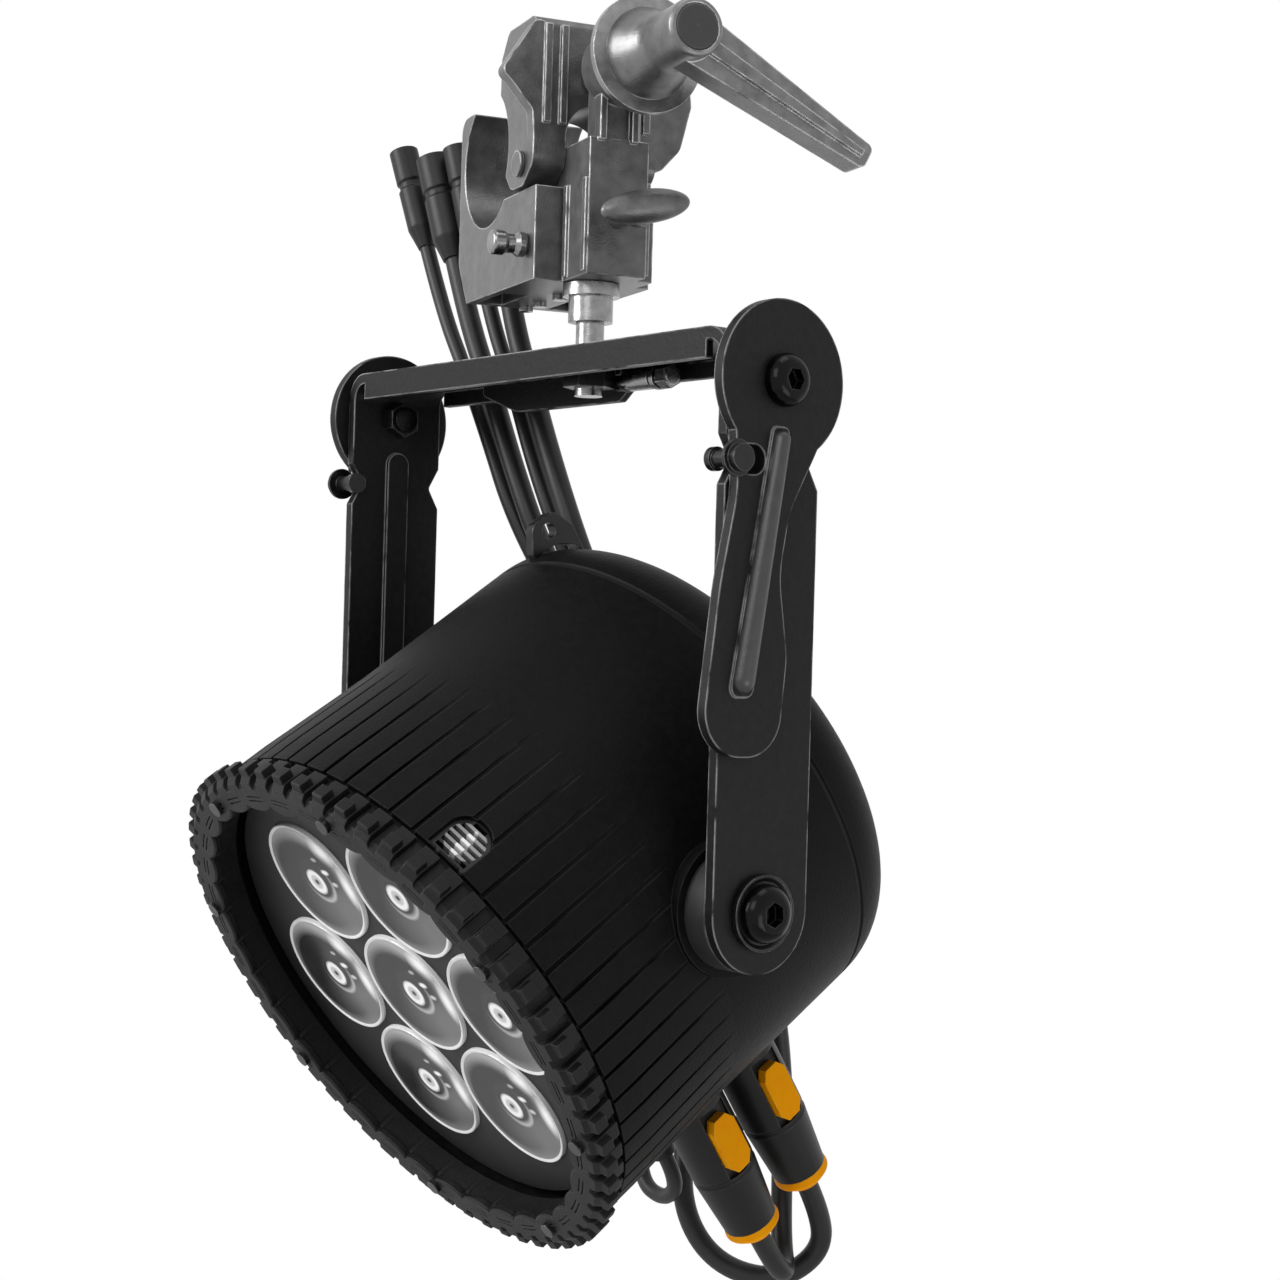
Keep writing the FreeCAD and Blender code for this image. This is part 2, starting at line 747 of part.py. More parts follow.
def yoke():
    """A strap bent to a U, with notched legs, beads and turned-down bar edges."""
    outer = LEG_FACE
    inner = LEG_INNER
    half = S.leg_width / 2
    strap = plate(
        "XZ_Plane",
        [
            (-outer, -half),
            (-outer, S.bar_top, S.bend_radius),
            (outer, S.bar_top, S.bend_radius),
            (outer, -half),
            (inner, -half),
            (inner, BAR_UNDER, S.bend_radius - S.sheet),
            (-inner, BAR_UNDER, S.bend_radius - S.sheet),
            (-inner, -half),
        ],
        S.leg_width,
        middle=True,
    )
    notch = S.notch_height
    side = [
        (-half, S.bar_top + 5),
        (-half, notch + S.notch_half),
        (-half + S.notch_depth, notch, 2),
        (-half, notch - S.notch_half),
        (-half, 0.01),
        (-half, -half, half - 0.02),
        (half, -half, half - 0.02),
        (half, 0.01),
        (half, notch - S.notch_half),
        (half - S.notch_depth, notch, 2),
        (half, notch + S.notch_half),
        (half, S.bar_top + 5),
    ]
    legs = plate("YZ_Plane", side, LEG_FACE * 2 + 10, middle=True)
    reach = LEG_INNER - S.flange_short
    edges = [
        block((-reach, y, BAR_UNDER - S.flange_depth), (reach, y + 3, BAR_UNDER + 1))
        for y in (-half, half - 3)
    ]
    beads = []
    for sign in (-1, 1):
        bead = plate(
            "YZ_Plane",
            [
                (-S.bead_width / 2, S.bead_bottom, S.bead_width / 2 - 0.05),
                (-S.bead_width / 2, S.bead_top, S.bead_width / 2 - 0.05),
                (S.bead_width / 2, S.bead_top, S.bead_width / 2 - 0.05),
                (S.bead_width / 2, S.bead_bottom, S.bead_width / 2 - 0.05),
            ],
            2.2,
            offset=sign * (inner - 0.6),
            middle=True,
        )
        beads.append(bead)
    across = LEG_FACE * 2 + 10
    holes = [
        cylinder(S.tilt_bolt_radius + S.running_fit, across, (-across / 2, 0, 0), (1, 0, 0)),
        cylinder(S.corner_bolt_radius, across, (-across / 2, 0, S.corner_height), (1, 0, 0)),
        cylinder(S.stud_radius, 30, (S.stud_offset, 0, BAR_UNDER - 5)),
        cylinder(S.stud_radius, 30, (-S.stud_offset, 0, BAR_UNDER - 5)),
    ]
    finish(cut(fuse(common(strap, legs), *edges, *beads), *holes), "yoke", YOKE)


def yoke_fittings():
    """Stiffener under the crossbar with the bolt at its end."""
    back = S.leg_width / 2 - 3
    low = BAR_UNDER - S.stiffener_depth
    left = -S.stiffener_left
    end = S.stiffener_right
    stiffener = plate(
        "XZ_Plane",
        [
            (left, BAR_UNDER),
            (end, BAR_UNDER),
            (end, low + 6, 1.5),
            (end - 8, low, 3),
            (left + 22, low, 20),
            (left, BAR_UNDER - 4, 2),
        ],
        3,
        offset=-back,
    )
    tab = block((end - 3, back - 9, BAR_UNDER - 8.5), (end, back - 3, BAR_UNDER))
    hole = cylinder(3, 10, (end - 7, back - 6.5, BAR_UNDER - 5), (1, 0, 0))
    finish(cut(fuse(stiffener, tab), hole), "yoke_stiffener", YOKE)
    bolt = fuse(
        cylinder(3, 29, (end - 3, back - 6.5, BAR_UNDER - 5), (1, 0, 0)),
        cylinder(4, 12, (end + 4, back - 6.5, BAR_UNDER - 5), (1, 0, 0)),
        cylinder(4.4, 2, (end + 17.5, back - 6.5, BAR_UNDER - 5), (1, 0, 0)),
        prism(7.5, 5, (end + 20.5, back - 6.5, BAR_UNDER - 5), (1, 0, 0)),
    )
    finish(bolt, "stiffener_bolt", YOKE)


def button_bolt(radius, length, head_radius, head_height, frame):
    """A domed socket screw whose head stands above its frame's origin along +Y."""
    blank = turned(
        [
            (0, -length),
            (radius, -length),
            (radius, 0),
            (head_radius, 0),
            (head_radius, head_height, head_height * 0.8),
            (0, head_height),
        ],
        frame,
    )
    tool = prism(head_radius * 0.75, head_height)
    tool.Placement = frame.multiply(along((0, 1, 0), (0, head_height * 0.35, 0)))
    return cut(blank, tool)


def mirrored(builder):
    """Both sides of something: sign +1 on +X and -1 on -X."""
    return [builder(sign) for sign in (1, -1)]


FOOT_BACK = LEG_FACE + S.clearance
FOOT_FACE = FOOT_BACK + S.foot_thickness


def corner_hardware():
    """The bolts that the feet swing on, and their nuts inside the legs."""
    length = S.sheet + S.foot_thickness + S.clearance * 2 + 7

    def bolt(sign):
        frame = along((sign, 0, 0), (sign * (FOOT_FACE + S.clearance), 0, S.corner_height), Y_AXIS)
        return button_bolt(S.corner_bolt_radius, length, 8.6, 5.4, frame)

    def nut(sign):
        at = (sign * LEG_INNER, 0, S.corner_height)
        hole = cylinder(S.corner_bolt_radius, 12, at, (-sign, 0, 0))
        return cut(prism(12, 5.5, at, (-sign, 0, 0)), hole)

    finish(group(*mirrored(bolt)), "corner_bolts", YOKE)
    finish(group(*mirrored(nut)), "corner_nuts", YOKE)


FOOT_BOLT = (-S.foot_bolt_ahead, S.notch_height)


def foot(sign, label):
    """A swing-out foot plate: round head, leaning waisted tail, rib and slot."""
    start = FOOT_BACK if sign > 0 else -FOOT_FACE
    tail = plate(
        "YZ_Plane",
        [
            (-20, 160),
            (-18.2, 134, 40),
            (-24.5, 104, 90),
            (-31, 50, 15),
            (1.5, 50, 14),
            (4.6, 82, 25),
            (0.4, 108, 40),
            (4, 128, 30),
            (17, 152),
        ],
        S.foot_thickness,
        offset=start,
    )
    head = cylinder(
        S.foot_head_radius, S.foot_thickness, (start, 0, S.corner_height), (1, 0, 0)
    )
    ribs = [
        plate(
            "YZ_Plane",
            [
                (-4.5 + slim, 155 - slim, 2),
                (2.5 - slim, 155 - slim, 2),
                (-10.5 - slim, 69 + slim, 3),
                (-20 + slim, 69 + slim, 3),
            ],
            proud * 2,
            offset=sign * FOOT_FACE,
            middle=True,
        )
        for slim, proud in ((0, S.foot_rib * 0.6), (1.5, S.foot_rib))
    ]
    if sign < 0:
        pivot = Vector(0, 0, float(S.corner_height))
        lean = Rotation(X_AXIS, float(S.far_foot_lean))
        for piece in (tail, *ribs):
            piece.Placement = Placement(pivot, lean).multiply(Placement(-pivot, Rotation()))
    slot_half = S.foot_slot_height / 2
    slot = plate(
        "YZ_Plane",
        [
            (-40, S.notch_height - slot_half),
            (-7, S.notch_height - slot_half, slot_half - 0.1),
            (-7, S.notch_height + slot_half, slot_half - 0.1),
            (-40, S.notch_height + slot_half),
        ],
        S.foot_thickness + 8,
        offset=start - 4,
    )
    hole = cylinder(
        S.corner_bolt_radius + S.running_fit, 20, (start - 4, 0, S.corner_height), (1, 0, 0)
    )
    finish(cut(fuse(tail, head, *ribs), slot, hole), label, YOKE)


def foot_lock(sign, label):
    """The clamped bolt in the foot's slot, which rests in the leg's notch."""
    y, z = FOOT_BOLT
    inner = S.foot_slot_height / 2 + 1.2
    out = (sign, 0, 0)
    shank = cylinder(
        S.foot_bolt_radius, S.sheet + S.foot_thickness + 5,
        (sign * (LEG_INNER - 2), y, z), out,
    )
    washer = cylinder(inner, 1.2, (sign * FOOT_FACE, y, z), out)
    head = cylinder(4.4, 2.8, (sign * (FOOT_FACE + 1.2), y, z), out)
    inside = cylinder(3.9, 2.4, (sign * (LEG_INNER - S.clearance - 2.4), y, z), out)
    finish(fuse(shank, washer, head, inside), label, YOKE)


# ---------------------------------------------------------------- head

BEZEL_BACK = -(S.bezel_front - S.bezel_depth)
BODY_FRONT = BEZEL_BACK + S.gasket
REAR_FACE = S.rear_seam + S.rear_depth
LENS_FRONT = -(S.bezel_front - S.lens_recess)
LENS_SEATS = [(0, 0)] + [
    (LENS_PITCH * math.cos(math.radians(60 * k)), LENS_PITCH * math.sin(math.radians(60 * k)))
    for k in range(6)
]
PLUG_SEATS = (S.plug_rear, S.plug_rear - S.plug_pitch)
SOCKET_LOW = -(REAR_RADIUS + 1.8)


def toothed(tip, root, count, share, start, length):
    """A ring of square teeth round Y, as a solid disc padded from start."""
    step = 2 * math.pi / count
    points = []
    for index in range(count):
        for radius, part in ((root, -0.5), (tip, -0.5), (tip, 0.5), (root, 0.5)):
            angle = step * (index + part * share)
            points.append((radius * math.cos(angle), radius * math.sin(angle)))
    wire = Part.makePolygon([Vector(x, start, z) for x, z in points + points[:1]])
    item = doc.addObject("Part::Feature", "Teeth")
    item.Shape = Part.Face(wire).extrude(Vector(0, length, 0))
    return item


def can_body():
    """The ribbed cylindrical housing with its side bosses, vent and socket holes."""
    front = BODY_FRONT
    seam = S.rear_seam
    outside = turned(
        [(0, front), (S.body_front_radius, front), (REAR_RADIUS, seam), (0, seam)]
    )
    rib_zone = turned(
        [
            (0, front),
            (S.body_front_radius + S.rib_height, front),
            (S.body_front_radius + S.rib_height, front + 12),
            (S.body_front_radius - 1, front + S.rib_fade),
            (0, front + S.rib_fade),
        ]
    )
    teeth = toothed(
        float(S.body_front_radius + S.rib_height + 1), float(S.body_front_radius - 4),
        int(S.rib_count), 0.84, float(front), float(S.rib_fade),
    )
    pads = cylinder(
        S.boss_pad_radius, PAD_FACE * 2, (-PAD_FACE, 0, 0), (1, 0, 0)
    )
    inside = turned(
        [
            (0, front - 1),
            (S.body_front_radius - S.wall, front - 1),
            (REAR_RADIUS - S.wall, seam + 1),
            (0, seam + 1),
        ]
    )
    across = PAD_FACE * 2 + 2
    bolt_hole = cylinder(S.tilt_bolt_radius, across, (-across / 2, 0, 0), (1, 0, 0))
    sockets = [cylinder(11.8, 30, (0, a, -REAR_RADIUS - 8)) for a in PLUG_SEATS]
    data = [cylinder(11.2, 40, (-S.data_side, a, -REAR_RADIUS - 8)) for a in PLUG_SEATS]
    solid = fuse(outside, common(rib_zone, teeth), pads)
    shell = cut(solid, inside, bolt_hole, *sockets, *data, vent_cut())
    finish(shell, "can_body", HEAD)


VENT_TURN = 43
VENT_AT = -60


def vent_frame():
    """The frame of the side vent: on the body's surface, Z outward."""
    return Placement(Vector(0, 0, 0), Rotation(Y_AXIS, 90 - VENT_TURN)).multiply(
        Placement(Vector(0, VENT_AT, S.body_front_radius - 6), Rotation())
    )


def vent_cut():
    window = plate(
        "XY_Plane", [(-8, -8), (8, -8), (8, 9.3, 7.8), (-8, 9.3, 7.8)], 14
    )
    window.Placement = vent_frame()
    return window


def vent_grille():
    """Five bars across an arched vent near the bezel."""
    window = plate(
        "XY_Plane", [(-7.8, -7.8), (7.8, -7.8), (7.8, 9.1, 7.6), (-7.8, 9.1, 7.6)], 5.4
    )
    rows = ((-6.25, 6.3), (-3.65, 6.3), (-1.05, 6.3), (1.55, 6.2), (4.15, 5.2), (6.75, 2.6))
    slots = [block((-half, y, 1.5), (half, y + 1.5, 6)) for y, half in rows]
    grille = cut(window, *slots)
    grille.Placement = vent_frame()
    finish(grille, "vent_grille", HEAD)


BEZEL_SCREW_RING = BEZEL_RADIUS - S.bezel_screw_inset


def bezel():
    """The front ring: a toothed rim round a chamfered opening."""
    tip = BEZEL_RADIUS - S.knob_height
    rim = toothed(
        float(tip), float(tip - S.tooth_depth),
        int(S.tooth_count), 0.62, -float(S.bezel_front), float(S.bezel_depth),
    )
    knobs = toothed(
        float(BEZEL_RADIUS), float(tip - 1),
        int(S.tooth_count), 0.5, 1.5 - float(S.bezel_front), float(S.knob_length),
    )
    splits = cut(
        toothed(
            float(BEZEL_RADIUS + 1), float(tip - 20),
            int(S.tooth_count), 0.1, -float(S.bezel_front) - 1, float(S.bezel_depth) + 2,
        ),
        cylinder(tip - 1.5, 40, (0, -S.bezel_front - 2, 0), (0, 1, 0)),
    )
    limit = turned(
        [
            (0, -S.bezel_front),
            (tip - 2, -S.bezel_front),
            (tip, -S.bezel_front + 2),
            (tip, BEZEL_BACK),
            (0, BEZEL_BACK),
        ]
    )
    opening = turned(
        [
            (0, -S.bezel_front - 1),
            (OPENING_RADIUS + 2.5, -S.bezel_front - 1),
            (OPENING_RADIUS, -S.bezel_front + 1.5),
            (OPENING_RADIUS, BEZEL_BACK + 1),
            (0, BEZEL_BACK + 1),
        ]
    )
    holes = [
        cylinder(2, 20, (x, -S.bezel_front - 1, z), (0, 1, 0))
        for x, z in screw_ring(BEZEL_SCREW_RING, 8)
    ]
    notches = toothed(
        float(OPENING_RADIUS + 2), float(OPENING_RADIUS - 2),
        int(S.notch_count), 0.4, -float(S.bezel_front) - 1, float(S.bezel_notch) + 1,
    )
    finish(cut(fuse(common(rim, limit), knobs), opening, notches, splits, *holes), "bezel", HEAD)


def screw_ring(radius, count):
    turns = [2 * math.pi * (index + 0.5) / count for index in range(count)]
    return [(radius * math.cos(turn), radius * math.sin(turn)) for turn in turns]


def bezel_screws():
    screws = [
        fuse(
            cylinder(2, 9, (x, -S.bezel_front, z), (0, 1, 0)),
            cylinder(2.7, 1.6, (x, -S.bezel_front - 1.6, z), (0, 1, 0)),
        )
        for x, z in screw_ring(BEZEL_SCREW_RING, 8)
    ]
    finish(group(*screws), "bezel_screws", HEAD)


def seals():
    """The two flat rings that close the housing."""
    for label, start, radius in (
        ("front_gasket", BEZEL_BACK, S.body_front_radius),
        ("rear_gasket", S.rear_seam, REAR_RADIUS),
    ):
        ring = turned(
            [
                (radius - S.wall - 2, start),
                (radius - 0.6, start),
                (radius - 0.6, start + S.gasket),
                (radius - S.wall - 2, start + S.gasket),
            ]
        )
        finish(ring, label, HEAD)


def lens_plate():
    """The black plate behind the bezel that holds the seven lenses."""
    disc = cylinder(OPENING_RADIUS - 0.2, 3, (0, LENS_FRONT, 0), (0, 1, 0))
    holes = [
        cylinder(LENS_RADIUS + 0.2, 5, (x, LENS_FRONT - 1, z), (0, 1, 0))
        for x, z in LENS_SEATS
    ]
    finish(cut(disc, *holes), "lens_plate", HEAD)


def lenses():
    """Seven moulded collimator lenses, each a rimmed disc on a hollow cone."""
    for number, (x, z) in enumerate(LENS_SEATS, start=1):
        lens = turned(
            [
                (0, 6),
                (8, 6),
                (LENS_RADIUS - 1.6, 0.8),
                (LENS_RADIUS - 1.2, 0),
                (LENS_RADIUS, 0),
                (LENS_RADIUS, 4),
                (LENS_RADIUS - 2.5, 6.5),
                (S.led_radius + 2.4, S.lens_depth),
                (S.led_radius + 0.6, S.lens_depth),
                (S.led_radius + 0.2, S.lens_depth - 8),
                (0, S.lens_depth - 9),
            ],
            Placement(Vector(x, LENS_FRONT - 1.5, z), Rotation()),
        )
        finish(lens, f"lens_{number}", HEAD)


def light_engine():
    """LED packages, their board, the heat sink behind it and the driver board."""
    back = LENS_FRONT - 1.5 + S.lens_depth
    leds = [
        fuse(
            cylinder(S.led_radius - 0.6, 4, (x, back - 4, z), (0, 1, 0)),
            cylinder(S.led_radius + 5, 1.2, (x, back + 0.2, z), (0, 1, 0)),
            cylinder(S.led_radius - 0.6, 1.4, (x, back - 0.4, z), (0, 1, 0)),
        )
        for x, z in LENS_SEATS
    ]
    finish(group(*leds), "led_modules", HEAD)
    board = back + 1.4
    disc = cylinder(BORE_RADIUS - S.board_margin, S.board_thickness, (0, board, 0), (0, 1, 0))
    finish(disc, "led_board", HEAD)
    sink_front = board + S.board_thickness
    sink_back = sink_front + S.sink_base
    base = cylinder(BORE_RADIUS - 1.2, S.sink_base, (0, sink_front, 0), (0, 1, 0))
    tall = BORE_RADIUS - S.fin_margin
    fins = [
        block(
            (S.fin_spread * share - 1.2, sink_back, -tall),
            (S.fin_spread * share + 1.2, sink_back + S.fin_height, tall),
        )
        for share in (-1, -0.75, -0.5, -0.25, 0, 0.25, 0.5, 0.75, 1)
    ]
    finish(fuse(base, *fins), "heat_sink", HEAD)
    deck = sink_back + S.fin_height + 10
    circuit = block(
        (-S.card_width / 2, deck, -S.card_height / 2),
        (S.card_width / 2, deck + S.board_thickness, S.card_height / 2),
    )
    layout = (
        (-22, 22, 14, 12, 16),
        (20, 26, 12, 9, 12),
        (-12, -24, 18, 8, 10),
        (26, -18, 7, 7, 18),
    )
    parts = [
        block(
            (x - w, deck + S.board_thickness, z - d),
            (x + w, deck + S.board_thickness + height, z + d),
        )
        for x, z, w, d, height in layout
    ]
    finish(fuse(circuit, *parts), "driver_board", HEAD)


def rear_cover():
    """The rounded rear cap with its screws."""
    seam = S.rear_seam + S.gasket
    radius = REAR_RADIUS
    shell = turned(
        [
            (radius - S.wall, seam),
            (radius, seam),
            (radius, REAR_FACE, S.rear_round),
            (0, REAR_FACE),
            (0, REAR_FACE - S.wall),
            (radius - S.wall, REAR_FACE - S.wall, S.rear_round - S.wall),
        ]
    )
    seats = screw_ring(REAR_RADIUS - S.rear_screw_inset, 6)
    holes = [cylinder(2, 10, (x, REAR_FACE - 6, z), (0, 1, 0)) for x, z in seats]
    finish(cut(shell, *holes), "rear_cover", HEAD)
    screws = [
        fuse(
            cylinder(2, 8, (x, REAR_FACE - 7, z), (0, 1, 0)),
            cylinder(3.4, 2, (x, REAR_FACE, z), (0, 1, 0)),
        )
        for x, z in seats
    ]
    finish(group(*screws), "rear_screws", HEAD)
    top = REAR_RADIUS
    back = REAR_FACE
    lug = plate(
        "YZ_Plane",
        [
            (back - 22, top - 2),
            (back - 22, top + 1.5, 2),
            (back - 17, top + 10.4, 5),
            (back - 6, top + 10.4, 5),
            (back - 1, top + 1.5, 3),
            (back - 1, top - 10),
        ],
        S.eye_thickness,
        offset=-S.eye_thickness * 3.5,
    )
    eye = cylinder(S.eye_hole, 20, (-20, back - 11.5, top + 5), (1, 0, 0))
    outside = turned(
        [(0, seam), (radius, seam), (radius, back, S.rear_round), (0, back)]
    )
    lug = cut(lug, eye, outside)
    finish(lug, "safety_eye", HEAD)


def tilt_pivots():
    """Spacers, dished washers and bolts on the tilt axis."""
    inner = PAD_FACE
    width = LEG_INNER - S.clearance - inner

    def spacer(sign):
        at = (sign * inner, 0, 0)
        ring = cylinder(S.leg_width / 2, width, at, (sign, 0, 0))
        return cut(ring, cylinder(S.tilt_bolt_radius, width, at, (sign, 0, 0)))

    def washer(sign):
        frame = along((sign, 0, 0), (sign * (LEG_FACE + S.clearance), 0, 0), Y_AXIS)
        radius = S.tilt_bolt_radius
        return turned(
            [(radius, 0), (9, 0), (12.4, 0.6), (12.4, 2.2), (11.6, 2.2), (10.2, 1.2), (radius, 1.2)],
            frame,
        )

    def bolt(sign):
        frame = along((sign, 0, 0), (sign * (LEG_FACE + S.clearance + 1.2), 0, 0), Y_AXIS)
        return button_bolt(S.tilt_bolt_radius, S.sheet + 18, 9.6, 5.8, frame)

    finish(group(*mirrored(spacer)), "pivot_spacers", HEAD)
    finish(group(*mirrored(washer)), "tilt_washers", HEAD)
    finish(group(*mirrored(bolt)), "tilt_bolts", HEAD)


# ---------------------------------------------------------------- connectors and cables


def sockets():
    """Panel sockets on the underside: two for power, two for data."""
    top = -REAR_RADIUS + 6
    power = [
        cut(
            cylinder(11.6, top - SOCKET_LOW, (0, a, SOCKET_LOW)),
            cylinder(10.4, 9, (0, a, SOCKET_LOW - 1)),
        )
        for a in PLUG_SEATS
    ]
    finish(group(*power), "power_sockets", HEAD)
    low = data_top()
    data = [
        cut(
            cylinder(11, 16, (-S.data_side, a, low)),
            cylinder(7.4, 8, (-S.data_side, a, low - 1)),
        )
        for a in PLUG_SEATS
    ]
    finish(group(*data), "data_sockets", HEAD)


def data_top():
    """Height of the data sockets' open end, below the curved underside."""
    return -math.sqrt(REAR_RADIUS**2 - S.data_side**2) - 2.5


DOWN = (0, 0, -1)


def power_plug(number, a):
    """A locking power plug with a bootlace collar; its latch slides in a pocket."""
    start = SOCKET_LOW - 0.3
    radius = S.plug_radius
    length = S.plug_length
    body = turned(
        [
            (0, -6),
            (10, -6),
            (10, 0),
            (radius, 0),
            (radius, 43),
            (radius - 0.8, 44.5),
            (radius, 46),
            (radius - 2.2, length - 7),
            (0, length - 7),
        ],
        along(DOWN, (0, a, start), Y_AXIS),
    )
    pocket = block((radius - 3.2, a - 6.3, start - 44), (radius + 4, a + 6.3, start - 13))
    finish(cut(body, pocket), f"power_plug_{number}", HEAD)
    low = start - 41.7
    high = start - 17.5
    latch = plate(
        "YZ_Plane",
        [
            (a - 5.8, low + 4),
            (a - 3, low),
            (a + 3, low),
            (a + 5.8, low + 4),
            (a + 5.8, high - 4),
            (a + 3, high),
            (a - 3, high),
            (a - 5.8, high - 4),
        ],
        4.2,
        offset=radius - 2.9,
    )
    finish(latch, f"plug_latch_{number}", HEAD)


def plug_rings():
    """The coloured collar at the cable end of each power plug."""
    start = SOCKET_LOW - 0.3 - S.plug_length + 7
    rings = [
        turned(
            [
                (S.power_cable / 2 + 0.3, 0),
                (S.plug_radius - 2.2, 0),
                (S.plug_radius - 1.6, 3, 1.5),
                (7, 7, 2),
                (S.power_cable / 2 + 0.3, 7),
            ],
            along(DOWN, (0, a, start), Y_AXIS),
        )
        for a in PLUG_SEATS
    ]
    finish(group(*rings), "plug_rings", HEAD)


def data_plug(number, a):
    start = data_top() - 0.3
    body = turned(
        [
            (0, -5),
            (7, -5),
            (7, 0),
            (S.data_radius, 0),
            (S.data_radius, 34),
            (S.data_radius - 1.5, 36),
            (5.4, S.data_length - 1),
            (0, S.data_length),
        ],
        along(DOWN, (-S.data_side, a, start), Y_AXIS),
    )
    finish(body, f"data_plug_{number}", HEAD)


# Routes from each plug's end up to the pipe, in the yoke's frame.
ROUTES = {
    "power_cable_1": [
        (0, 139.3, -138.5),
        (-3, 145, -157.5),
        (-20, 135, -173),
        (-44, 120, -167),
        (-58, 114, -142),
        (-61, 124, -104),
        (-61, 134, -64),
        (-58, 127, -22),
        (-56, 104, 17),
        (-54, 79, 54),
        (-54, 54, 89),
        (-63, 38, 122),
        (-76, 33, 154),
        (-89, 31, 184),
        (-103, 29, 212),
        (-111, 27, 238),
    ],
    "power_cable_2": [
        (0, 113, -154),
        (-3, 125, -164.5),
        (-16, 134, -155.5),
        (-22, 139, -129),
        (-25, 141, -95),
        (-28, 138, -60),
        (-28, 124, -24),
        (-29, 101, 14),
        (-30, 76, 50),
        (-31, 53, 84),
        (-36, 38, 118),
        (-48, 33, 150),
        (-62, 32, 181),
        (-76, 31, 211),
        (-82, 30, 239),
    ],
    "data_cable_1": [
        (-38, 120.5, -110.2),
        (-40, 137, -112.2),
        (-43, 150, -101),
        (-46, 151, -76),
        (-45, 141, -47),
        (-42, 124, -14),
        (-41, 103, 20),
        (-41, 78, 56),
        (-42, 53, 90),
        (-49, 38, 122),
        (-61.5, 33, 153),
        (-75, 32, 184),
        (-89, 30, 212),
        (-97, 28, 240),
    ],
    "data_cable_2": [
        (-38, 98, -131.2),
        (-51, 102, -141.5),
        (-67, 102, -137.5),
        (-79, 111, -118.5),
        (-82, 125, -86),
        (-76, 133, -46),
        (-70, 117, -4),
        (-66, 93, 32),
        (-65, 69, 68),
        (-66, 48, 102),
        (-78, 35, 134),
        (-91, 32, 164),
        (-107, 31, 192),
        (-122, 29, 218),
        (-132, 27, 245),
    ],
}


def cables():
    """Four cables from the plugs to the couplers that hang behind the pipe."""
    to_yoke = YOKE.inverse().multiply(HEAD)
    couplers = {"power": [], "data": []}
    for number, a in enumerate(PLUG_SEATS, start=1):
        power_end = SOCKET_LOW - 0.3 - S.plug_length + 7
        data_end = data_top() - 0.3 - S.data_length
        for kind, x, end, radius in (
            ("power", 0, power_end, 7.5),
            ("data", -S.data_side, data_end, 6),
        ):
            diameter = S.power_cable if kind == "power" else S.data_cable
            label = f"{kind}_cable_{number}"
            start = to_yoke.multVec(Vector(x, a, end))
            points = [tuple(start)] + ROUTES[label]
            finish(tube(points, diameter), label, YOKE)
            run = Vector(*points[-1]) - Vector(*points[-2])
            couplers[kind].append(coupler(radius, points[-1], run))
    finish(group(*couplers["power"]), "power_couplers", YOKE)
    finish(group(*couplers["data"]), "data_couplers", YOKE)


def coupler(radius, at, run):
    """An in-line cable connector standing on a cable's end."""
    return turned(
        [
            (0, 0),
            (radius - 2.4, 0),
            (radius, 9, 4),
            (radius, 26),
            (radius - 0.8, 27),
            (radius - 0.8, 29),
            (radius, 30),
            (radius, 44),
            (radius - 2, 44),
            (radius - 2, 36),
            (0, 36),
        ],
        along(tuple(run), at, Y_AXIS),
    )


def build_all():
    clamp_body()
    clamp_jaw()
    jaw_pin()
    lever()
    wing_screw()
    release_pin()
    base_screws()
    stud()
    yoke()
    yoke_fittings()
    corner_hardware()
    for sign, side in ((1, "left"), (-1, "right")):
        foot(sign, f"foot_{side}")
        foot_lock(sign, f"foot_lock_{side}")
    can_body()
    vent_grille()
    bezel()
    bezel_screws()
    seals()
    lens_plate()
    lenses()
    light_engine()
    rear_cover()
    tilt_pivots()
    sockets()
    for number, a in enumerate(PLUG_SEATS, start=1):
        power_plug(number, a)
        data_plug(number, a)
    plug_rings()
    cables()


def export():
    """Check every object and write each sub-part to its own file."""
    doc.recompute()
    for item in doc.Objects:
        if "Invalid" in item.State or "Error" in item.State:
            raise RuntimeError(f"{item.Name} ({item.Label}) failed: {item.State}")
    for item in finished:
        shape = item.Shape
        if shape.isNull() or not shape.isValid() or not shape.Solids:
            raise RuntimeError(f"{item.Label} has no valid solid")
        shape.exportStep(f"parts/{item.Label}.step")
        print(f"{item.Label}: {len(shape.Solids)} solids, {shape.Volume / 1000:.1f} cm3")


build_all()
export()
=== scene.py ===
# %% [markdown]
# # A stage par can light
#
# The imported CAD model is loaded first. It already holds every piece at its real
# size and place, in metres, with +Z up and the origin on the axis of the pipe
# that the clamp grips. This file dresses it: finishes, cables, lenses and the
# small forms that are easier to make in Blender than in CAD.

# %% Load the frame
import json
import math

import bmesh
import bpy
import numpy as np
from mathutils import Matrix, Vector

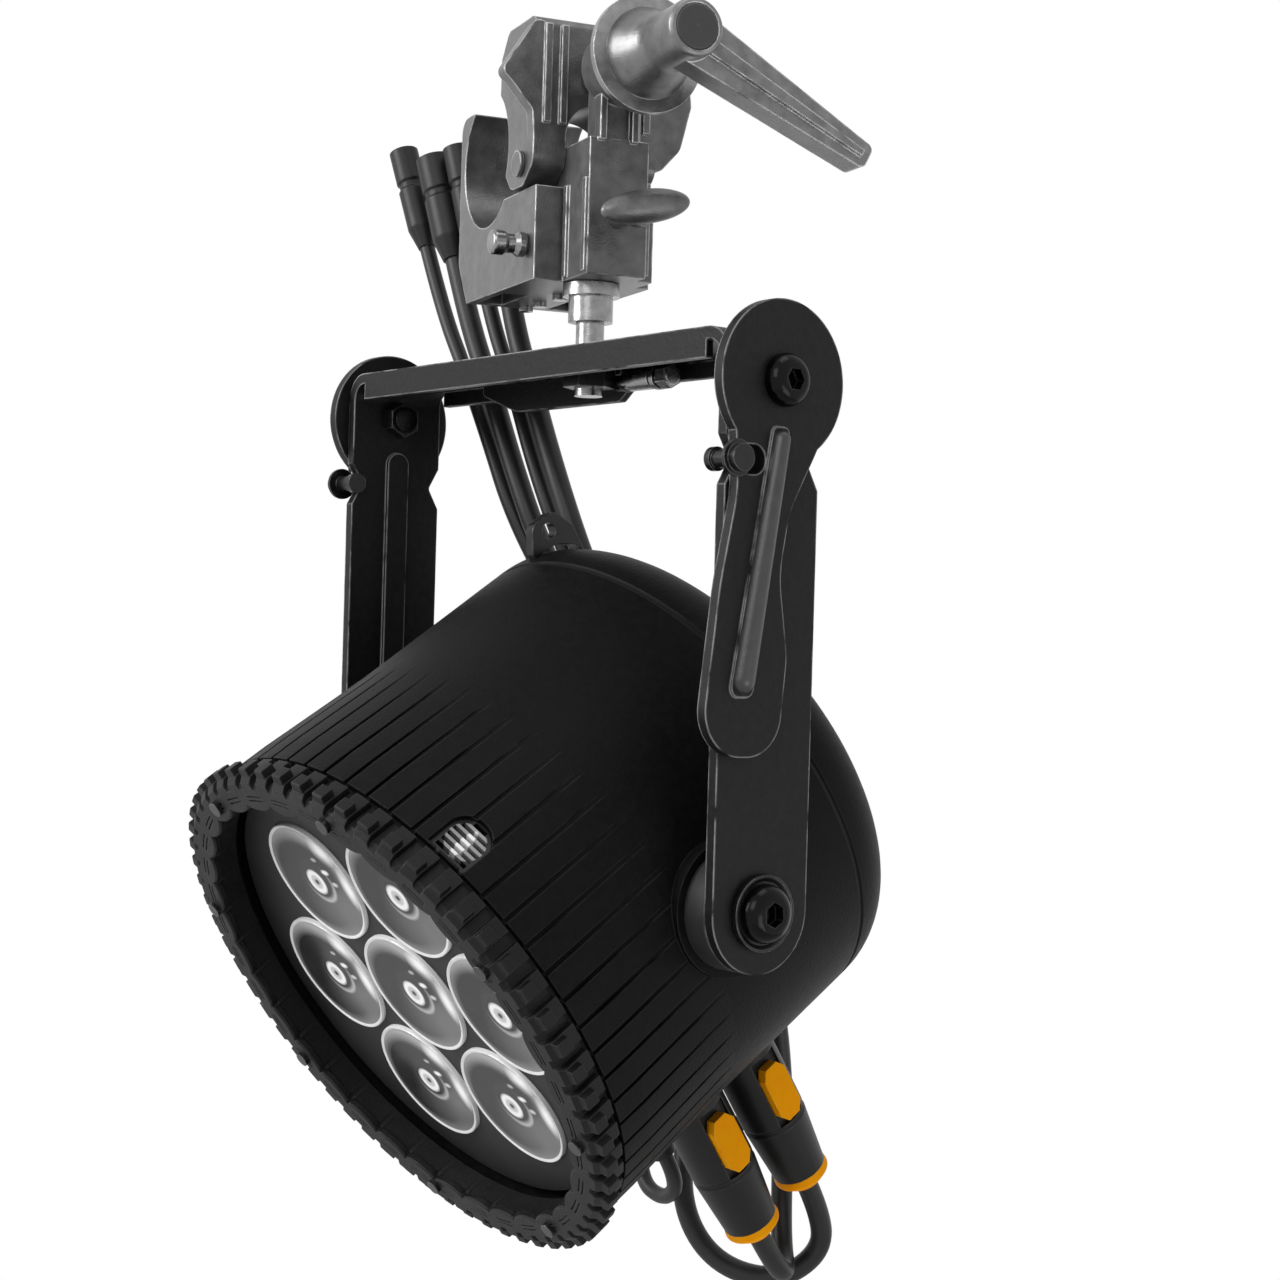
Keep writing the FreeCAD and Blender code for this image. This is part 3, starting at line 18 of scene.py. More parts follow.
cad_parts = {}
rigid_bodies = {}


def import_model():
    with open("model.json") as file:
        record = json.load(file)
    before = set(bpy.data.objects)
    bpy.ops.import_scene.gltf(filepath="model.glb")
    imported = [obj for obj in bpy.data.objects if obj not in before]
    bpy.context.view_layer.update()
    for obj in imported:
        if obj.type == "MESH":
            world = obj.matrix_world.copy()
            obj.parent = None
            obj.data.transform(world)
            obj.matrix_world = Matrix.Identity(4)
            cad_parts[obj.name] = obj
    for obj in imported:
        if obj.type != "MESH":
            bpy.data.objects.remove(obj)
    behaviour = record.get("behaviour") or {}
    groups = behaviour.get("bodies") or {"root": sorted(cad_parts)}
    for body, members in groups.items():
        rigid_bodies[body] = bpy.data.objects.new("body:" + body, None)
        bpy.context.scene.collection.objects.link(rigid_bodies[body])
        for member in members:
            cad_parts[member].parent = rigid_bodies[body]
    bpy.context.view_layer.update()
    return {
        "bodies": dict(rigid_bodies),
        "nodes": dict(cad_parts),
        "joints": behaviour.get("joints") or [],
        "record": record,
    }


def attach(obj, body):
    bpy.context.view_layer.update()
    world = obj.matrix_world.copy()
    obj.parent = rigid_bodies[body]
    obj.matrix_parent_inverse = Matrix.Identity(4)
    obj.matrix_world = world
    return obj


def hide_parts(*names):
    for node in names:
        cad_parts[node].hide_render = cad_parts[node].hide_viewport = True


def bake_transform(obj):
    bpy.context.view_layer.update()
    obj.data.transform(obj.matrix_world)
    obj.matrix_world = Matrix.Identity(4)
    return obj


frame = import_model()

scene = bpy.context.scene

# %% [markdown]
# ## Local frames
#
# The pieces made here belong to the yoke or to the head, and each is easiest to
# describe in its own frame: the yoke's, with its origin on the tilt axis, or the
# head's, which is the yoke's frame turned by the tilt, with the beam along -Y.
# Two small matrices carry a point in millimetres from either of them to the
# frame of the whole lamp. The pipe runs 75 degrees round from X, and the yoke
# hangs from a stud beside it.

# %% Frames
MM = 0.001
PAN = math.radians(75)
TILT = math.radians(33.5)
STUD_REACH = 50
YOKE_SHIFT = 15
PIPE_HEIGHT = 262.3
TILT_AXIS = Vector((
    STUD_REACH * math.sin(PAN) - YOKE_SHIFT, -STUD_REACH * math.cos(PAN), -PIPE_HEIGHT,
))

in_yoke = Matrix.Scale(MM, 4) @ Matrix.Translation(TILT_AXIS)
in_head = in_yoke @ Matrix.Rotation(TILT, 4, "X")
print("tilt axis at", [round(v, 4) for v in TILT_AXIS * MM])

# %% [markdown]
# ## The camera
#
# The lamp is seen about 51 degrees round from its front and level with the head.
# A camera close to the lamp gives strong perspective, so the lens is only as long
# as the distance needs. The rotation is written as the three directions of the
# camera's own axes, which is the plainest way to state a level view with a small
# roll.

# %% Camera
camera_data = bpy.data.cameras.new("camera")
camera_data.sensor_width = 36
camera_data.lens = 62.25
camera_data.clip_start = 0.05
camera = bpy.data.objects.new("camera", camera_data)
scene.collection.objects.link(camera)
right = Vector((0.62962, 0.77638, 0.02855))
up = Vector((-0.01946, -0.02098, 0.99959))
back = Vector((0.77666, -0.62992, 0.00190))
turn = Matrix((right, up, back)).transposed().to_4x4()
camera.matrix_world = Matrix.Translation((0.669634, -0.490140, -0.174837)) @ turn
scene.camera = camera
print("camera", camera_data.lens, "mm, at", [round(v, 3) for v in camera.location])

# %% [markdown]
# ## Helpers for finishes
#
# Colours are written as the hex values a painter or a web page would use, which
# are sRGB. Shaders work in linear light, so one function converts them. A second
# function adds a shader node, sets its inputs and links it, and gives back the
# socket that carries its result, so each finish below reads as a short recipe.
# A Mix node takes its factor at input 0 and its two colours at inputs 6 and 7, and
# gives the mixed colour at output 2.

# %% Colour and node helpers
def linear(code):
    """A hex colour such as 1b1b1c as linear red, green, blue and alpha."""
    values = [int(code[i:i + 2], 16) / 255 for i in (0, 2, 4)]
    return tuple(v / 12.92 if v <= 0.04045 else ((v + 0.055) / 1.055) ** 2.4 for v in values) + (1,)


def node(tree, kind, inputs=None, out=0, **settings):
    """Add a node and return one of its outputs; inputs are values or sockets."""
    made = tree.nodes.new("ShaderNode" + kind)
    for name, value in settings.items():
        setattr(made, name, value)
    for name, value in (inputs or {}).items():
        socket = made.inputs[name]
        if isinstance(value, bpy.types.NodeSocket):
            tree.links.new(value, socket)
        else:
            socket.default_value = value
    return made.outputs[out] if made.outputs else None


def dress(material, *names):
    """Give CAD nodes or pieces a finish in place of what they have."""
    for name in names:
        for slot in bpy.data.objects[name].material_slots:
            slot.material = material


print("colour check: mid grey", [round(v, 3) for v in linear("808080")])

# %% [markdown]
# ## How paint, plating and plastic behave at edges
#
# Nearly every surface here is metal under paint or plating, and what tells the
# eye so is how the edges behave: paint thins there, catches light and finally
# rubs off. Cycles can round a normal near an edge without changing the mesh.
# Comparing that rounded normal with the true one gives a mask that is bright on
# edges only. A noise breaks the mask up so that the wear comes in patches. On the
# yoke the edge colour is light enough to be a painted highlight as well as wear.
# The same rounded normal then carries the fine grain, so no edge is razor sharp.

# %% Surface helpers
def lumps(tree, size_mm, detail=3.0):
    """Soft noise whose lumps are about size_mm across, in the piece's own space."""
    where = node(tree, "TexCoord", out="Object")
    spread = node(tree, "VectorMath", {0: where, "Scale": 1 / (size_mm * MM)}, operation="SCALE")
    return node(tree, "TexNoise", {"Vector": spread, "Scale": 1.0, "Detail": detail})


def edge_wear_and_sheen_mask(tree, bent, patch_mm):
    """1 on edges in patches, 0 elsewhere: rubbed edges, and on the yoke a painted highlight too."""
    true = node(tree, "NewGeometry", out="Normal")
    match = node(tree, "VectorMath", {0: true, 1: bent}, out="Value", operation="DOT_PRODUCT")
    edge = node(tree, "MapRange", {"Value": match, "From Min": 0.995, "From Max": 0.85})
    breaks = lumps(tree, patch_mm)
    patches = node(tree, "MapRange", {"Value": breaks, "From Min": 0.34, "From Max": 0.52})
    return node(tree, "Math", {0: edge, 1: patches}, operation="MULTIPLY")


def surface(name, dark, light, edge_wear_and_sheen, patch_mm, grain_mm, depth_mm, round_mm=0.5,
            rough=(0.4, 0.55), edge_patch_mm=9, **inputs):
    """A finish of two close colours in patches, a fine grain, and lighter edges: rubbed, and on the
    yoke also a painted highlight.

    The patches, the grain and its depth, the rounding of edges and the patches of
    the edge colour are in millimetres, and rough holds the least and the most roughness.
    """
    material = bpy.data.materials.new(name)
    material.use_nodes = True
    tree = material.node_tree
    tree.nodes.clear()
    bent = node(tree, "Bevel", {"Radius": round_mm * MM}, samples=4)
    patch = lumps(tree, patch_mm)
    paint = node(
        tree, "Mix", {0: patch, 6: linear(dark), 7: linear(light)}, out=2, data_type="RGBA",
    )
    edge = edge_wear_and_sheen_mask(tree, bent, edge_patch_mm)
    colour = node(tree, "Mix", {0: edge, 6: paint, 7: linear(edge_wear_and_sheen)}, out=2, data_type="RGBA")
    gloss = node(tree, "MapRange", {"Value": patch, "To Min": rough[0], "To Max": rough[1]})
    grain = lumps(tree, grain_mm)
    bump = node(tree, "Bump", {"Height": grain, "Distance": depth_mm * MM, "Normal": bent})
    shader = node(
        tree, "BsdfPrincipled", {"Base Color": colour, "Roughness": gloss, "Normal": bump},
    )
    for socket, value in inputs.items():
        shader.node.inputs[socket.replace("_", " ")].default_value = value
    node(tree, "OutputMaterial", {"Surface": shader})
    return material


print("edge rounding of 0.2 to 0.9 mm, wear in patches of 4 to 10 mm")

# %% [markdown]
# ## Black powder coat
#
# The housing and the yoke are metal under black powder coat: dry powder that is
# melted on in an oven. It comes out as a satin film with a very fine pebble, which
# the eye reads as matt black with a soft sheen. The pebble is drawn about four
# times coarser than the real 0.3 mm, so that it shows. Handling polishes the edges
# of the yoke to a lighter grey; that grey is drawn light enough to be a painted
# highlight along every edge as well. The ridges on the feet are rubbed all over,
# so their coat is smoother and shines more, and its greyer colour is partly a
# painted sheen that helps the long bright line.

# %% Powder coat
housing_coat = surface(
    "black_powder_coat_housing", "040404", "151515", "383838", 3, 1.2, 0.13, 0.6,
    (0.42, 0.56), Specular_IOR_Level=0.07,
)
dress(housing_coat, "can_body")
bezel_coat = surface(
    "black_powder_coat_bezel", "0a0a0a", "151515", "3c3c3c", 9, 1.2, 0.1, 0.5,
    (0.42, 0.6), 6, Specular_IOR_Level=0.18,
)
# The yoke's light edge colour c0c0c0 is rubbed coat and a painted highlight along every edge.
yoke_coat = surface(
    "black_powder_coat_yoke", "0a0a0a", "202020", "c0c0c0", 3, 1.3, 0.13, 0.9,
    (0.36, 0.52), 10, Specular_IOR_Level=0.15,
)
# The ridge's greyer coat is rubbed coat and partly a painted sheen.
rubbed_and_sheen_coat = surface(
    "rubbed_powder_coat_ridge_painted_sheen", "1a1a1a", "343434", "8c8c8c", 4, 1.3, 0.1, 0.9,
    (0.3, 0.42), 8, Specular_IOR_Level=0.6,
)
dress(yoke_coat, "yoke", "yoke_stiffener", "foot_left", "foot_right")
print("powder coat on", "can, rear cover, bezel, yoke and feet")

# %% [markdown]
# ## The clamp's castings
#
# The clamp is a dark tumbled alloy casting. Its skin is slightly rough, with a
# grey metal sheen, and pipes have rubbed the corners bright.

# %% Cast alloy
clamp_cast = surface(
    "tumbled_cast_alloy_dark", "3c3c3c", "7a7a7a", "ececec", 6, 0.7, 0.12, 0.8,
    (0.26, 0.42), 7, Metallic=0.55,
)
dress(clamp_cast, "clamp_body", "clamp_jaw", "jaw_pin", "wing_screw")
lever_cast = surface(
    "tumbled_cast_alloy_lever", "4c4c4c", "8c8c8c", "f4f4f4", 5, 0.6, 0.1, 0.9,
    (0.22, 0.4), 8, Metallic=0.8,
)
dress(lever_cast, "lever_arm")
print("cast alloy on clamp and lever")

# %% [markdown]
# ## Plated and blackened steel
#
# Pins, washers and the stud are turned steel with bright zinc plate: a light grey
# metal with a dull bloom in patches. Screws and nuts are blackened in hot oxide,
# which leaves a dark film with a metal gloss. The large domed bolts of the yoke
# are enamelled a glossy black, which the eye reads from one small sharp glint.

# %% Steel
bright_zinc = surface(
    "bright_zinc_plated_steel", "6a6a6a", "a4a4a4", "ececec", 4, 0.5, 0.04, 0.4,
    (0.16, 0.34), 5, Metallic=1.0,
)
dress(
    bright_zinc, "thrust_washer", "base_screws", "release_pin", "stud",
    "clamp_screw", "stiffener_bolt",
)
black_oxide = surface(
    "black_oxide_steel", "141414", "242424", "707070", 3, 0.5, 0.02, 0.5,
    (0.22, 0.36), 4, Metallic=0.5,
)
dress(
    black_oxide, "stud_nuts", "tilt_washers", "corner_nuts", "foot_lock_left",
    "foot_lock_right", "bezel_screws", "rear_screws", "safety_eye",
)
black_enamel = surface(
    "glossy_black_enamel_bolts", "020202", "060606", "303030", 5, 0.8, 0.03, 0.8,
    (0.1, 0.18), 5, Specular_IOR_Level=0.14,
)
dress(black_enamel, "tilt_bolts", "corner_bolts")
print("steel on pins, washers, stud and screws")

# %% [markdown]
# ## Plastics and rubber
#
# The spacers and the lens plate are moulded plastic with a spark-eroded grain. The
# plugs are glass-filled nylon, whose satin skin has a grey sheen, and their
# latches are the same nylon, coloured through with a warm yellow. Cable jackets
# and gaskets are rubber, dull and a little dusty.

# %% Plastics and rubber
spacer_grey = surface(
    "moulded_acetal_spacer", "262626", "323232", "6a6a6a", 8, 0.6, 0.03, 0.6, (0.4, 0.5),
)
dress(spacer_grey, "pivot_spacers", "lever_cap")
plate_black = surface(
    "moulded_abs_lens_plate", "161616", "222222", "3c3c3c", 14, 0.7, 0.05, 0.4,
    (0.5, 0.62), Specular_IOR_Level=0.3,
)
dress(plate_black, "lens_plate")
nylon_black = surface(
    "glass_filled_nylon_black", "0e0e0e", "1c1c1c", "4c4c4c", 7, 0.6, 0.05, 0.7,
    (0.36, 0.5), 6, Specular_IOR_Level=0.25,
)
dress(
    nylon_black, "power_sockets", "data_sockets", "power_plug_1", "power_plug_2", "data_plug_1",
    "data_plug_2", "power_couplers", "data_couplers",
)
nylon_yellow = surface(
    "glass_filled_nylon_yellow", "ff9a00", "ffb000", "ffcc40", 6, 0.6, 0.04, 0.6,
    (0.4, 0.52), 6, Specular_IOR_Level=0.05,
)
dress(nylon_yellow, "plug_latch_1", "plug_latch_2", "plug_rings")
cable_rubber = surface(
    "rubber_cable_jacket", "161616", "282828", "4a4a4a", 12, 0.5, 0.03, 0.3,
    (0.36, 0.5), Specular_IOR_Level=0.3,
)
gasket_rubber = surface(
    "moulded_rubber_gasket", "0c0c0c", "161616", "242424", 8, 0.5, 0.03, 0.3,
    (0.6, 0.75), Specular_IOR_Level=0.2,
)
dress(gasket_rubber, "front_gasket", "rear_gasket")
print("plastics and rubber on", len(bpy.data.materials), "materials so far")

# %% [markdown]
# ## Inside the head
#
# The LED board, its heat sink and the driver board are sealed in the housing. They
# are dressed too, because a joint or a cutaway view can show them.

# %% Inner finishes
board_green = surface(
    "solder_mask_green", "0d3a22", "14492b", "b08a4a", 10, 0.6, 0.03, 0.3,
    (0.3, 0.42),
)
dress(board_green, "led_board", "driver_board")
sink_alloy = surface(
    "extruded_aluminium_sink", "9c9c9c", "bcbcbc", "dcdcdc", 12, 0.5, 0.03, 0.4,
    (0.34, 0.46), Metallic=1.0,
)
dress(sink_alloy, "heat_sink")
led_white = surface(
    "led_ceramic_package", "c8c8c0", "e6e6de", "f4f4ec", 2, 0.3, 0.02, 0.2,
    (0.3, 0.42),
)
dress(led_white, "led_modules")
print("inner finishes on boards, sink and LEDs")

# %% [markdown]
# ## The vent beside the bezel
#
# A breather sits in an arched window of the housing. Its dark frame has five
# metal bars across it, and over the middle of the bars and the gaps lies a
# painted reflection: a white oval drawn into the colour. The bars and the oval
# are laid out in the vent's own frame, in millimetres, so they fall on the bars
# of the CAD piece.

# %% Vent finish
VENT_TURN = math.radians(90 - 43)
VENT_SEAT = Vector((0, -60, 96.5 - 6))
in_vent = in_head @ Matrix.Rotation(VENT_TURN, 4, "Y") @ Matrix.Translation(VENT_SEAT)
BAR_PITCH = 2.6
FIRST_BAR = -4.2
BAR_FADE = (0.5, 0.62)
WINDOW_RADIUS = 6.3
WINDOW_MIDDLE = 0.9
# Radii in mm of the white oval, a painted reflection.
REFLECTION_OVAL = (1.7, 6.0)


def vent_bars():
    """Bright bars on a dark frame, with a painted reflection: a white oval across bars and gaps."""
    material = bpy.data.materials.new("breather_vent_metal_bars")
    material.use_nodes = True
    tree = material.node_tree
    tree.nodes.clear()
    local = node(tree, "TexCoord", out="Object")
    spread, turned, place = in_vent.to_scale(), in_vent.to_euler(), in_vent.to_translation()
    where = node(
        tree, "Mapping", {"Vector": local, "Location": place, "Rotation": turned, "Scale": spread},
        vector_type="TEXTURE",
    )
    split = node(tree, "SeparateXYZ", {"Vector": where}).node
    across, along = split.outputs["X"], split.outputs["Y"]
    shifted = node(tree, "Math", {0: along, 1: BAR_PITCH / 2 - FIRST_BAR}, operation="ADD")
    phase = node(tree, "Math", {0: shifted, 1: BAR_PITCH}, operation="FLOORED_MODULO")
    off = node(tree, "Math", {0: phase, 1: BAR_PITCH / 2}, operation="SUBTRACT")
    distance = node(tree, "Math", {0: off}, operation="ABSOLUTE")
    bar = node(tree, "MapRange", {
        "Value": distance, "From Min": BAR_FADE[1], "From Max": BAR_FADE[0],
    })
    middle = node(tree, "VectorMath", {0: where, 1: (0, -WINDOW_MIDDLE, 0)}, operation="ADD")
    flat = node(
        tree, "VectorMath", {0: middle, 1: (1 / WINDOW_RADIUS, 1 / WINDOW_RADIUS, 0)},
        operation="MULTIPLY",
    )
    reach = node(tree, "VectorMath", {0: flat}, out="Value", operation="LENGTH")
    inner = node(tree, "MapRange", {"Value": reach, "From Min": 1.1, "From Max": 1.04})
    bars_in_window = node(tree, "Math", {0: bar, 1: inner}, operation="MULTIPLY")
    squash = node(
        tree, "VectorMath", {0: where, 1: (1 / REFLECTION_OVAL[0], 1 / REFLECTION_OVAL[1], 0)},
        operation="MULTIPLY",
    )
    far = node(tree, "VectorMath", {0: squash}, out="Value", operation="LENGTH")
    # The white oval: a painted reflection over the bars and the gaps.
    painted_reflection = node(tree, "MapRange", {"Value": far, "From Min": 1.1, "From Max": 0.95})
    colour = node(
        tree, "Mix", {0: bars_in_window, 6: linear("121212"), 7: linear("a0a0a0")}, out=2,
        data_type="RGBA",
    )
    # The painted reflection's colours: white on the bars, pale grey in the gaps.
    light = node(
        tree, "Mix", {0: bar, 6: linear("dcdcdc"), 7: linear("ffffff")}, out=2,
        data_type="RGBA",
    )
    final = node(tree, "Mix", {0: painted_reflection, 6: colour, 7: light}, out=2, data_type="RGBA")
    shader = node(tree, "BsdfPrincipled", {
        "Base Color": final, "Roughness": 0.45, "Specular IOR Level": 0.3,
    })
    node(tree, "OutputMaterial", {"Surface": shader})
    return material


dress(vent_bars(), "vent_grille")
print("vent at", [round(v, 3) for v in in_vent.to_translation()])

# %% [markdown]
# ## Cables
#
# Two power leads and two data leads leave the rear of the head, loop up behind it
# and climb to the pipe, where something out of sight holds their couplings. A
# cable is one smooth curve, so each route is the control points of a NURBS, and
# the jacket is a tube swept along the line that the NURBS gives. The tube carries
# its cross-section along with as little twist as it can, or it would pinch.

# %% Cable routes, in the yoke's frame
ROUTES = {
    "power_cable_1": [
        (0, 127.16, -120.18), (0, 139.3, -138.5), (-3, 145, -157.5), (-20, 135, -173),
        (-44, 120, -167), (-58, 114, -142), (-61, 124, -104), (-61, 134, -64),
        (-58, 127, -22), (-56, 104, 17), (-54, 79, 54), (-54, 54, 89), (-63, 38, 122),
        (-76, 33, 154), (-89, 31, 184), (-103, 29, 212), (-111, 27, 238),
    ],
    "power_cable_2": [
        (0, 101.81, -136.96), (0, 113, -154), (-3, 125, -164.5), (-16, 134, -155.5),
        (-22, 139, -129), (-25, 141, -95), (-28, 138, -60), (-28, 124, -24), (-29, 101, 14),
        (-30, 76, 50), (-31, 53, 84), (-36, 38, 118), (-48, 33, 150), (-62, 32, 181),
        (-76, 31, 211), (-82, 30, 239),
    ],
    "data_cable_1": [
        (-38, 115, -101.81), (-38, 120.5, -110.2), (-40, 137, -112.2), (-43, 150, -101),
        (-46, 151, -76), (-45, 141, -47), (-42, 124, -14), (-41, 103, 20), (-41, 78, 56),
        (-42, 53, 90), (-49, 38, 122), (-61.5, 33, 153), (-75, 32, 184), (-89, 30, 212),
        (-97, 28, 240),
    ],
    "data_cable_2": [
        (-38, 89.65, -118.59), (-38, 98, -131.2), (-51, 102, -141.5), (-67, 102, -137.5),
        (-79, 111, -118.5), (-82, 125, -86), (-76, 133, -46), (-70, 117, -4), (-66, 93, 32),
        (-65, 69, 68), (-66, 48, 102), (-78, 35, 134), (-91, 32, 164), (-107, 31, 192),
        (-122, 29, 218), (-132, 27, 245),
    ],
}
# Each cable's diameter in mm, its length in m and the coupler at its far end.
CABLES = {
    "power_cable_1": (8.6, 0.539, "power_couplers"),
    "power_cable_2": (8.6, 0.483, "power_couplers"),
    "data_cable_1": (6.4, 0.424, "data_couplers"),
    "data_cable_2": (6.4, 0.477, "data_couplers"),
}


def smooth_line(points):
    """The line of a NURBS through a route's control points."""
    curve = bpy.data.curves.new("route", "CURVE")
    curve.dimensions = "3D"
    spline = curve.splines.new("NURBS")
    spline.points.add(len(points) - 1)
    for knot, point in zip(spline.points, points):
        knot.co = (*(in_yoke @ Vector(point)), 1)
    spline.order_u = 3
    spline.use_endpoint_u = True
    spline.resolution_u = 10
    holder = bpy.data.objects.new("route", curve)
    scene.collection.objects.link(holder)
    line = bpy.data.meshes.new_from_object(holder)
    path = [vertex.co.copy() for vertex in line.vertices]
    bpy.data.objects.remove(holder)
    bpy.data.curves.remove(curve)
    bpy.data.meshes.remove(line)
    return path


def swept(name, path, radius, sides=14):
    """A round tube along a path, with a flat cap at each end."""
    angles = [math.tau * k / sides for k in range(sides)]
    bm = bmesh.new()
    side = None
    rings = []
    for index, point in enumerate(path):
        ahead = (path[min(index + 1, len(path) - 1)] - path[max(index - 1, 0)]).normalized()
        if side is None:
            side = ahead.orthogonal().normalized()
        side = (side - ahead * side.dot(ahead)).normalized()
        over = ahead.cross(side)
        rings.append([
            bm.verts.new(point + (side * math.cos(t) + over * math.sin(t)) * radius) for t in angles
        ])
    for first, second in zip(rings, rings[1:]):
        for k in range(sides):
            bm.faces.new((first[k], first[(k + 1) % sides], second[(k + 1) % sides], second[k]))
    bm.faces.new(rings[0][::-1])
    bm.faces.new(rings[-1])
    return as_piece(name, bm)


def as_piece(name, bm, smooth=True):
    """Turn a bmesh into an object in the scene."""
    bmesh.ops.recalc_face_normals(bm, faces=bm.faces)
    mesh = bpy.data.meshes.new(name)
    bm.to_mesh(mesh)
    bm.free()
    if smooth:
        mesh.shade_smooth()
        mesh.set_sharp_from_angle(angle=math.radians(35))
    piece = bpy.data.objects.new(name, mesh)
    scene.collection.objects.link(piece)
    return piece


# %% Cables in place
for name, points in ROUTES.items():
    diameter, length, coupler = CABLES[name]
    path = smooth_line(points)
    jacket = swept(name + "_jacket", path, diameter / 2 * MM)
    jacket.data.materials.append(cable_rubber)
    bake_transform(jacket)
    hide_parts(name)
    run = sum((b - a).length for a, b in zip(path, path[1:]))
    print(name, "runs", round(run, 3), "m")

# %% [markdown]
# ## Lenses
#
# Seven moulded acrylic lenses fill the front. Each gathers an LED's light by
# total reflection from its own sides. From outside, the eye sees a grey, glossy
# shallow dish with a milky rim, and in the middle the LED: a white ring with a
# dark die. The light on the dish is painted into its colour: a painted highlight
# along one edge, a painted pool of light, two painted reflections of lamps, a
# painted arc of reflection round the LED and three painted glints beside it, with
# painted shade in a patch of the field and in the throat round the LED. A truly
# clear cone would show little but noise at this size, so the lens is made here as
# what the eye sees. The pattern is laid out in millimetres from each lens's own
# centre, so one finish serves all seven.

# %% Lens finishes
def spot(tree, where, centre, radii, soft=0.25):
    """1 inside an ellipse in the lens's own plane, 0 outside, with a soft edge."""
    offset = node(tree, "VectorMath", {0: where, 1: (-centre[0], 0, -centre[1])}, operation="ADD")
    squash = node(
        tree, "VectorMath", {0: offset, 1: (1 / radii[0], 0, 1 / radii[1])}, operation="MULTIPLY",
    )
    reach = node(tree, "VectorMath", {0: squash}, out="Value", operation="LENGTH")
    return node(tree, "MapRange", {"Value": reach, "From Min": 1 + soft, "From Max": 1 - soft})


def lens_face():
    """The dished face of a lens, from its grey field to the LED in its throat."""
    material = bpy.data.materials.new("moulded_acrylic_lens_face")
    material.use_nodes = True
    tree = material.node_tree
    tree.nodes.clear()
    local = node(tree, "TexCoord", out="Object")
    where = node(tree, "VectorMath", {0: local, "Scale": 1 / MM}, operation="SCALE")
    colour = node(
        tree, "Mix", {0: lumps(tree, 7), 6: linear("1e1e1e"), 7: linear("343434")}, out=2,
        data_type="RGBA",
    )
    # Each layer is an ellipse: its centre and radii in mm, its softness, its colour.
    # Most layers are painted light and shade on the face; the last four draw the LED.
    led_and_painted_light_layers = (
        # A painted pool of light, then a patch of painted shade.
        ((13, -12), (16, 14), 0.7, "6a6a6a"),
        ((-2, 9), (13, 6), 0.6, "2a2a2a"),
        # Two painted reflections of lamps.
        ((15.0, 15.0), (4.6, 4.6), 0.6, "f4f4f4"),
        ((20.2, -0.5), (2.6, 6.0), 0.6, "f4f4f4"),
        # Painted shade in the throat beside the LED.
        ((6.0, 5.0), (9.6, 7.6), 0.3, "303030"),
        # A painted arc of reflection round the LED: a pale disc cut by a darker one, which also
        # shades the throat.
        ((1.6, -0.2), (8.6, 8.2), 0.08, "b8b8b8"),
        ((0.8, 1.4), (8.7, 8.4), 0.12, "343434"),
        # Three painted glints.
        ((9.4, 5.0), (2.0, 1.0), 0.4, "f0f0f0"),
        ((12.0, 0.2), (1.6, 0.9), 0.4, "c8c8c8"),
        ((6.2, 10.0), (1.5, 0.8), 0.4, "a8a8a8"),
        # The LED: a dark ring, its white ring, a paler centre and the dark die.
        ((0, 0), (6.0, 5.8), 0.12, "222222"),
        ((0, 0), (5.1, 5.0), 0.12, "f2f2f2"),
        ((0, 0), (3.0, 2.9), 0.15, "c4c4c4"),
        ((0.1, 0), (1.2, 1.1), 0.4, "3c3c3c"),
    )
    # A painted highlight along one edge of the dish.
    painted_edge_highlight = spot(tree, where, (-3.0, -1.4), (20.4, 20.4), 0.14)
    colour = node(
        tree, "Mix", {0: painted_edge_highlight, 6: linear("a8a8a8"), 7: colour}, out=2, data_type="RGBA",
    )
    for centre, radii, soft, code in led_and_painted_light_layers:
        mask = spot(tree, where, centre, radii, soft)
        colour = node(tree, "Mix", {0: mask, 6: colour, 7: linear(code)}, out=2, data_type="RGBA")
    shader = node(tree, "BsdfPrincipled", {
        "Base Color": colour, "Roughness": 0.16, "Specular IOR Level": 0.16,
    })
    node(tree, "OutputMaterial", {"Surface": shader})
    return material


acrylic_face = lens_face()
rim_acrylic = surface(
    "moulded_acrylic_rim_milky", "c4c4c4", "ececec", "ffffff", 6, 0.8, 0.02, 0.3, (0.12, 0.2),
)
print("lens finishes made")

# %% Lenses in place
LENS_RADIUS = 24.3
LENS_PITCH = 50.9
BEZEL_FRONT = -81.7
PLATE_DEPTH = 15
LENS_PROUD = 1.5
LENS_FACE = BEZEL_FRONT + PLATE_DEPTH - LENS_PROUD
DISH_RADIUS = 22.9
DISH_DEPTH = 0.2


def spun(name, profile, skins, at, frame, sides=64):
    """Turn a closed profile of (radius, depth) about an axis along the frame's Y.

    The mesh is built about its own origin, which is then put in place, so that a
    finish can use the piece's own space.
    """
    bm = bmesh.new()
    rings = []
    for radius, depth in profile:
        count = sides if radius > 0 else 1
        rings.append([
            bm.verts.new(Vector((
                radius * math.cos(math.tau * k / sides), depth,
                radius * math.sin(math.tau * k / sides),
            )) * MM) for k in range(count)
        ])
    for index, (first, second) in enumerate(zip(rings, rings[1:])):
        if len(first) == len(second) == 1:
            continue
        for k in range(sides):
            a, b = first[k % len(first)], first[(k + 1) % len(first)]
            c, d = second[(k + 1) % len(second)], second[k % len(second)]
            corners = [v for n, v in enumerate((a, b, c, d)) if v not in (a, b, c, d)[:n]]
            bm.faces.new(corners).material_index = skins[index]
    piece = as_piece(name, bm)
    piece.matrix_world = frame @ Matrix.Translation(at) @ Matrix.Scale(1 / MM, 4)
    return piece


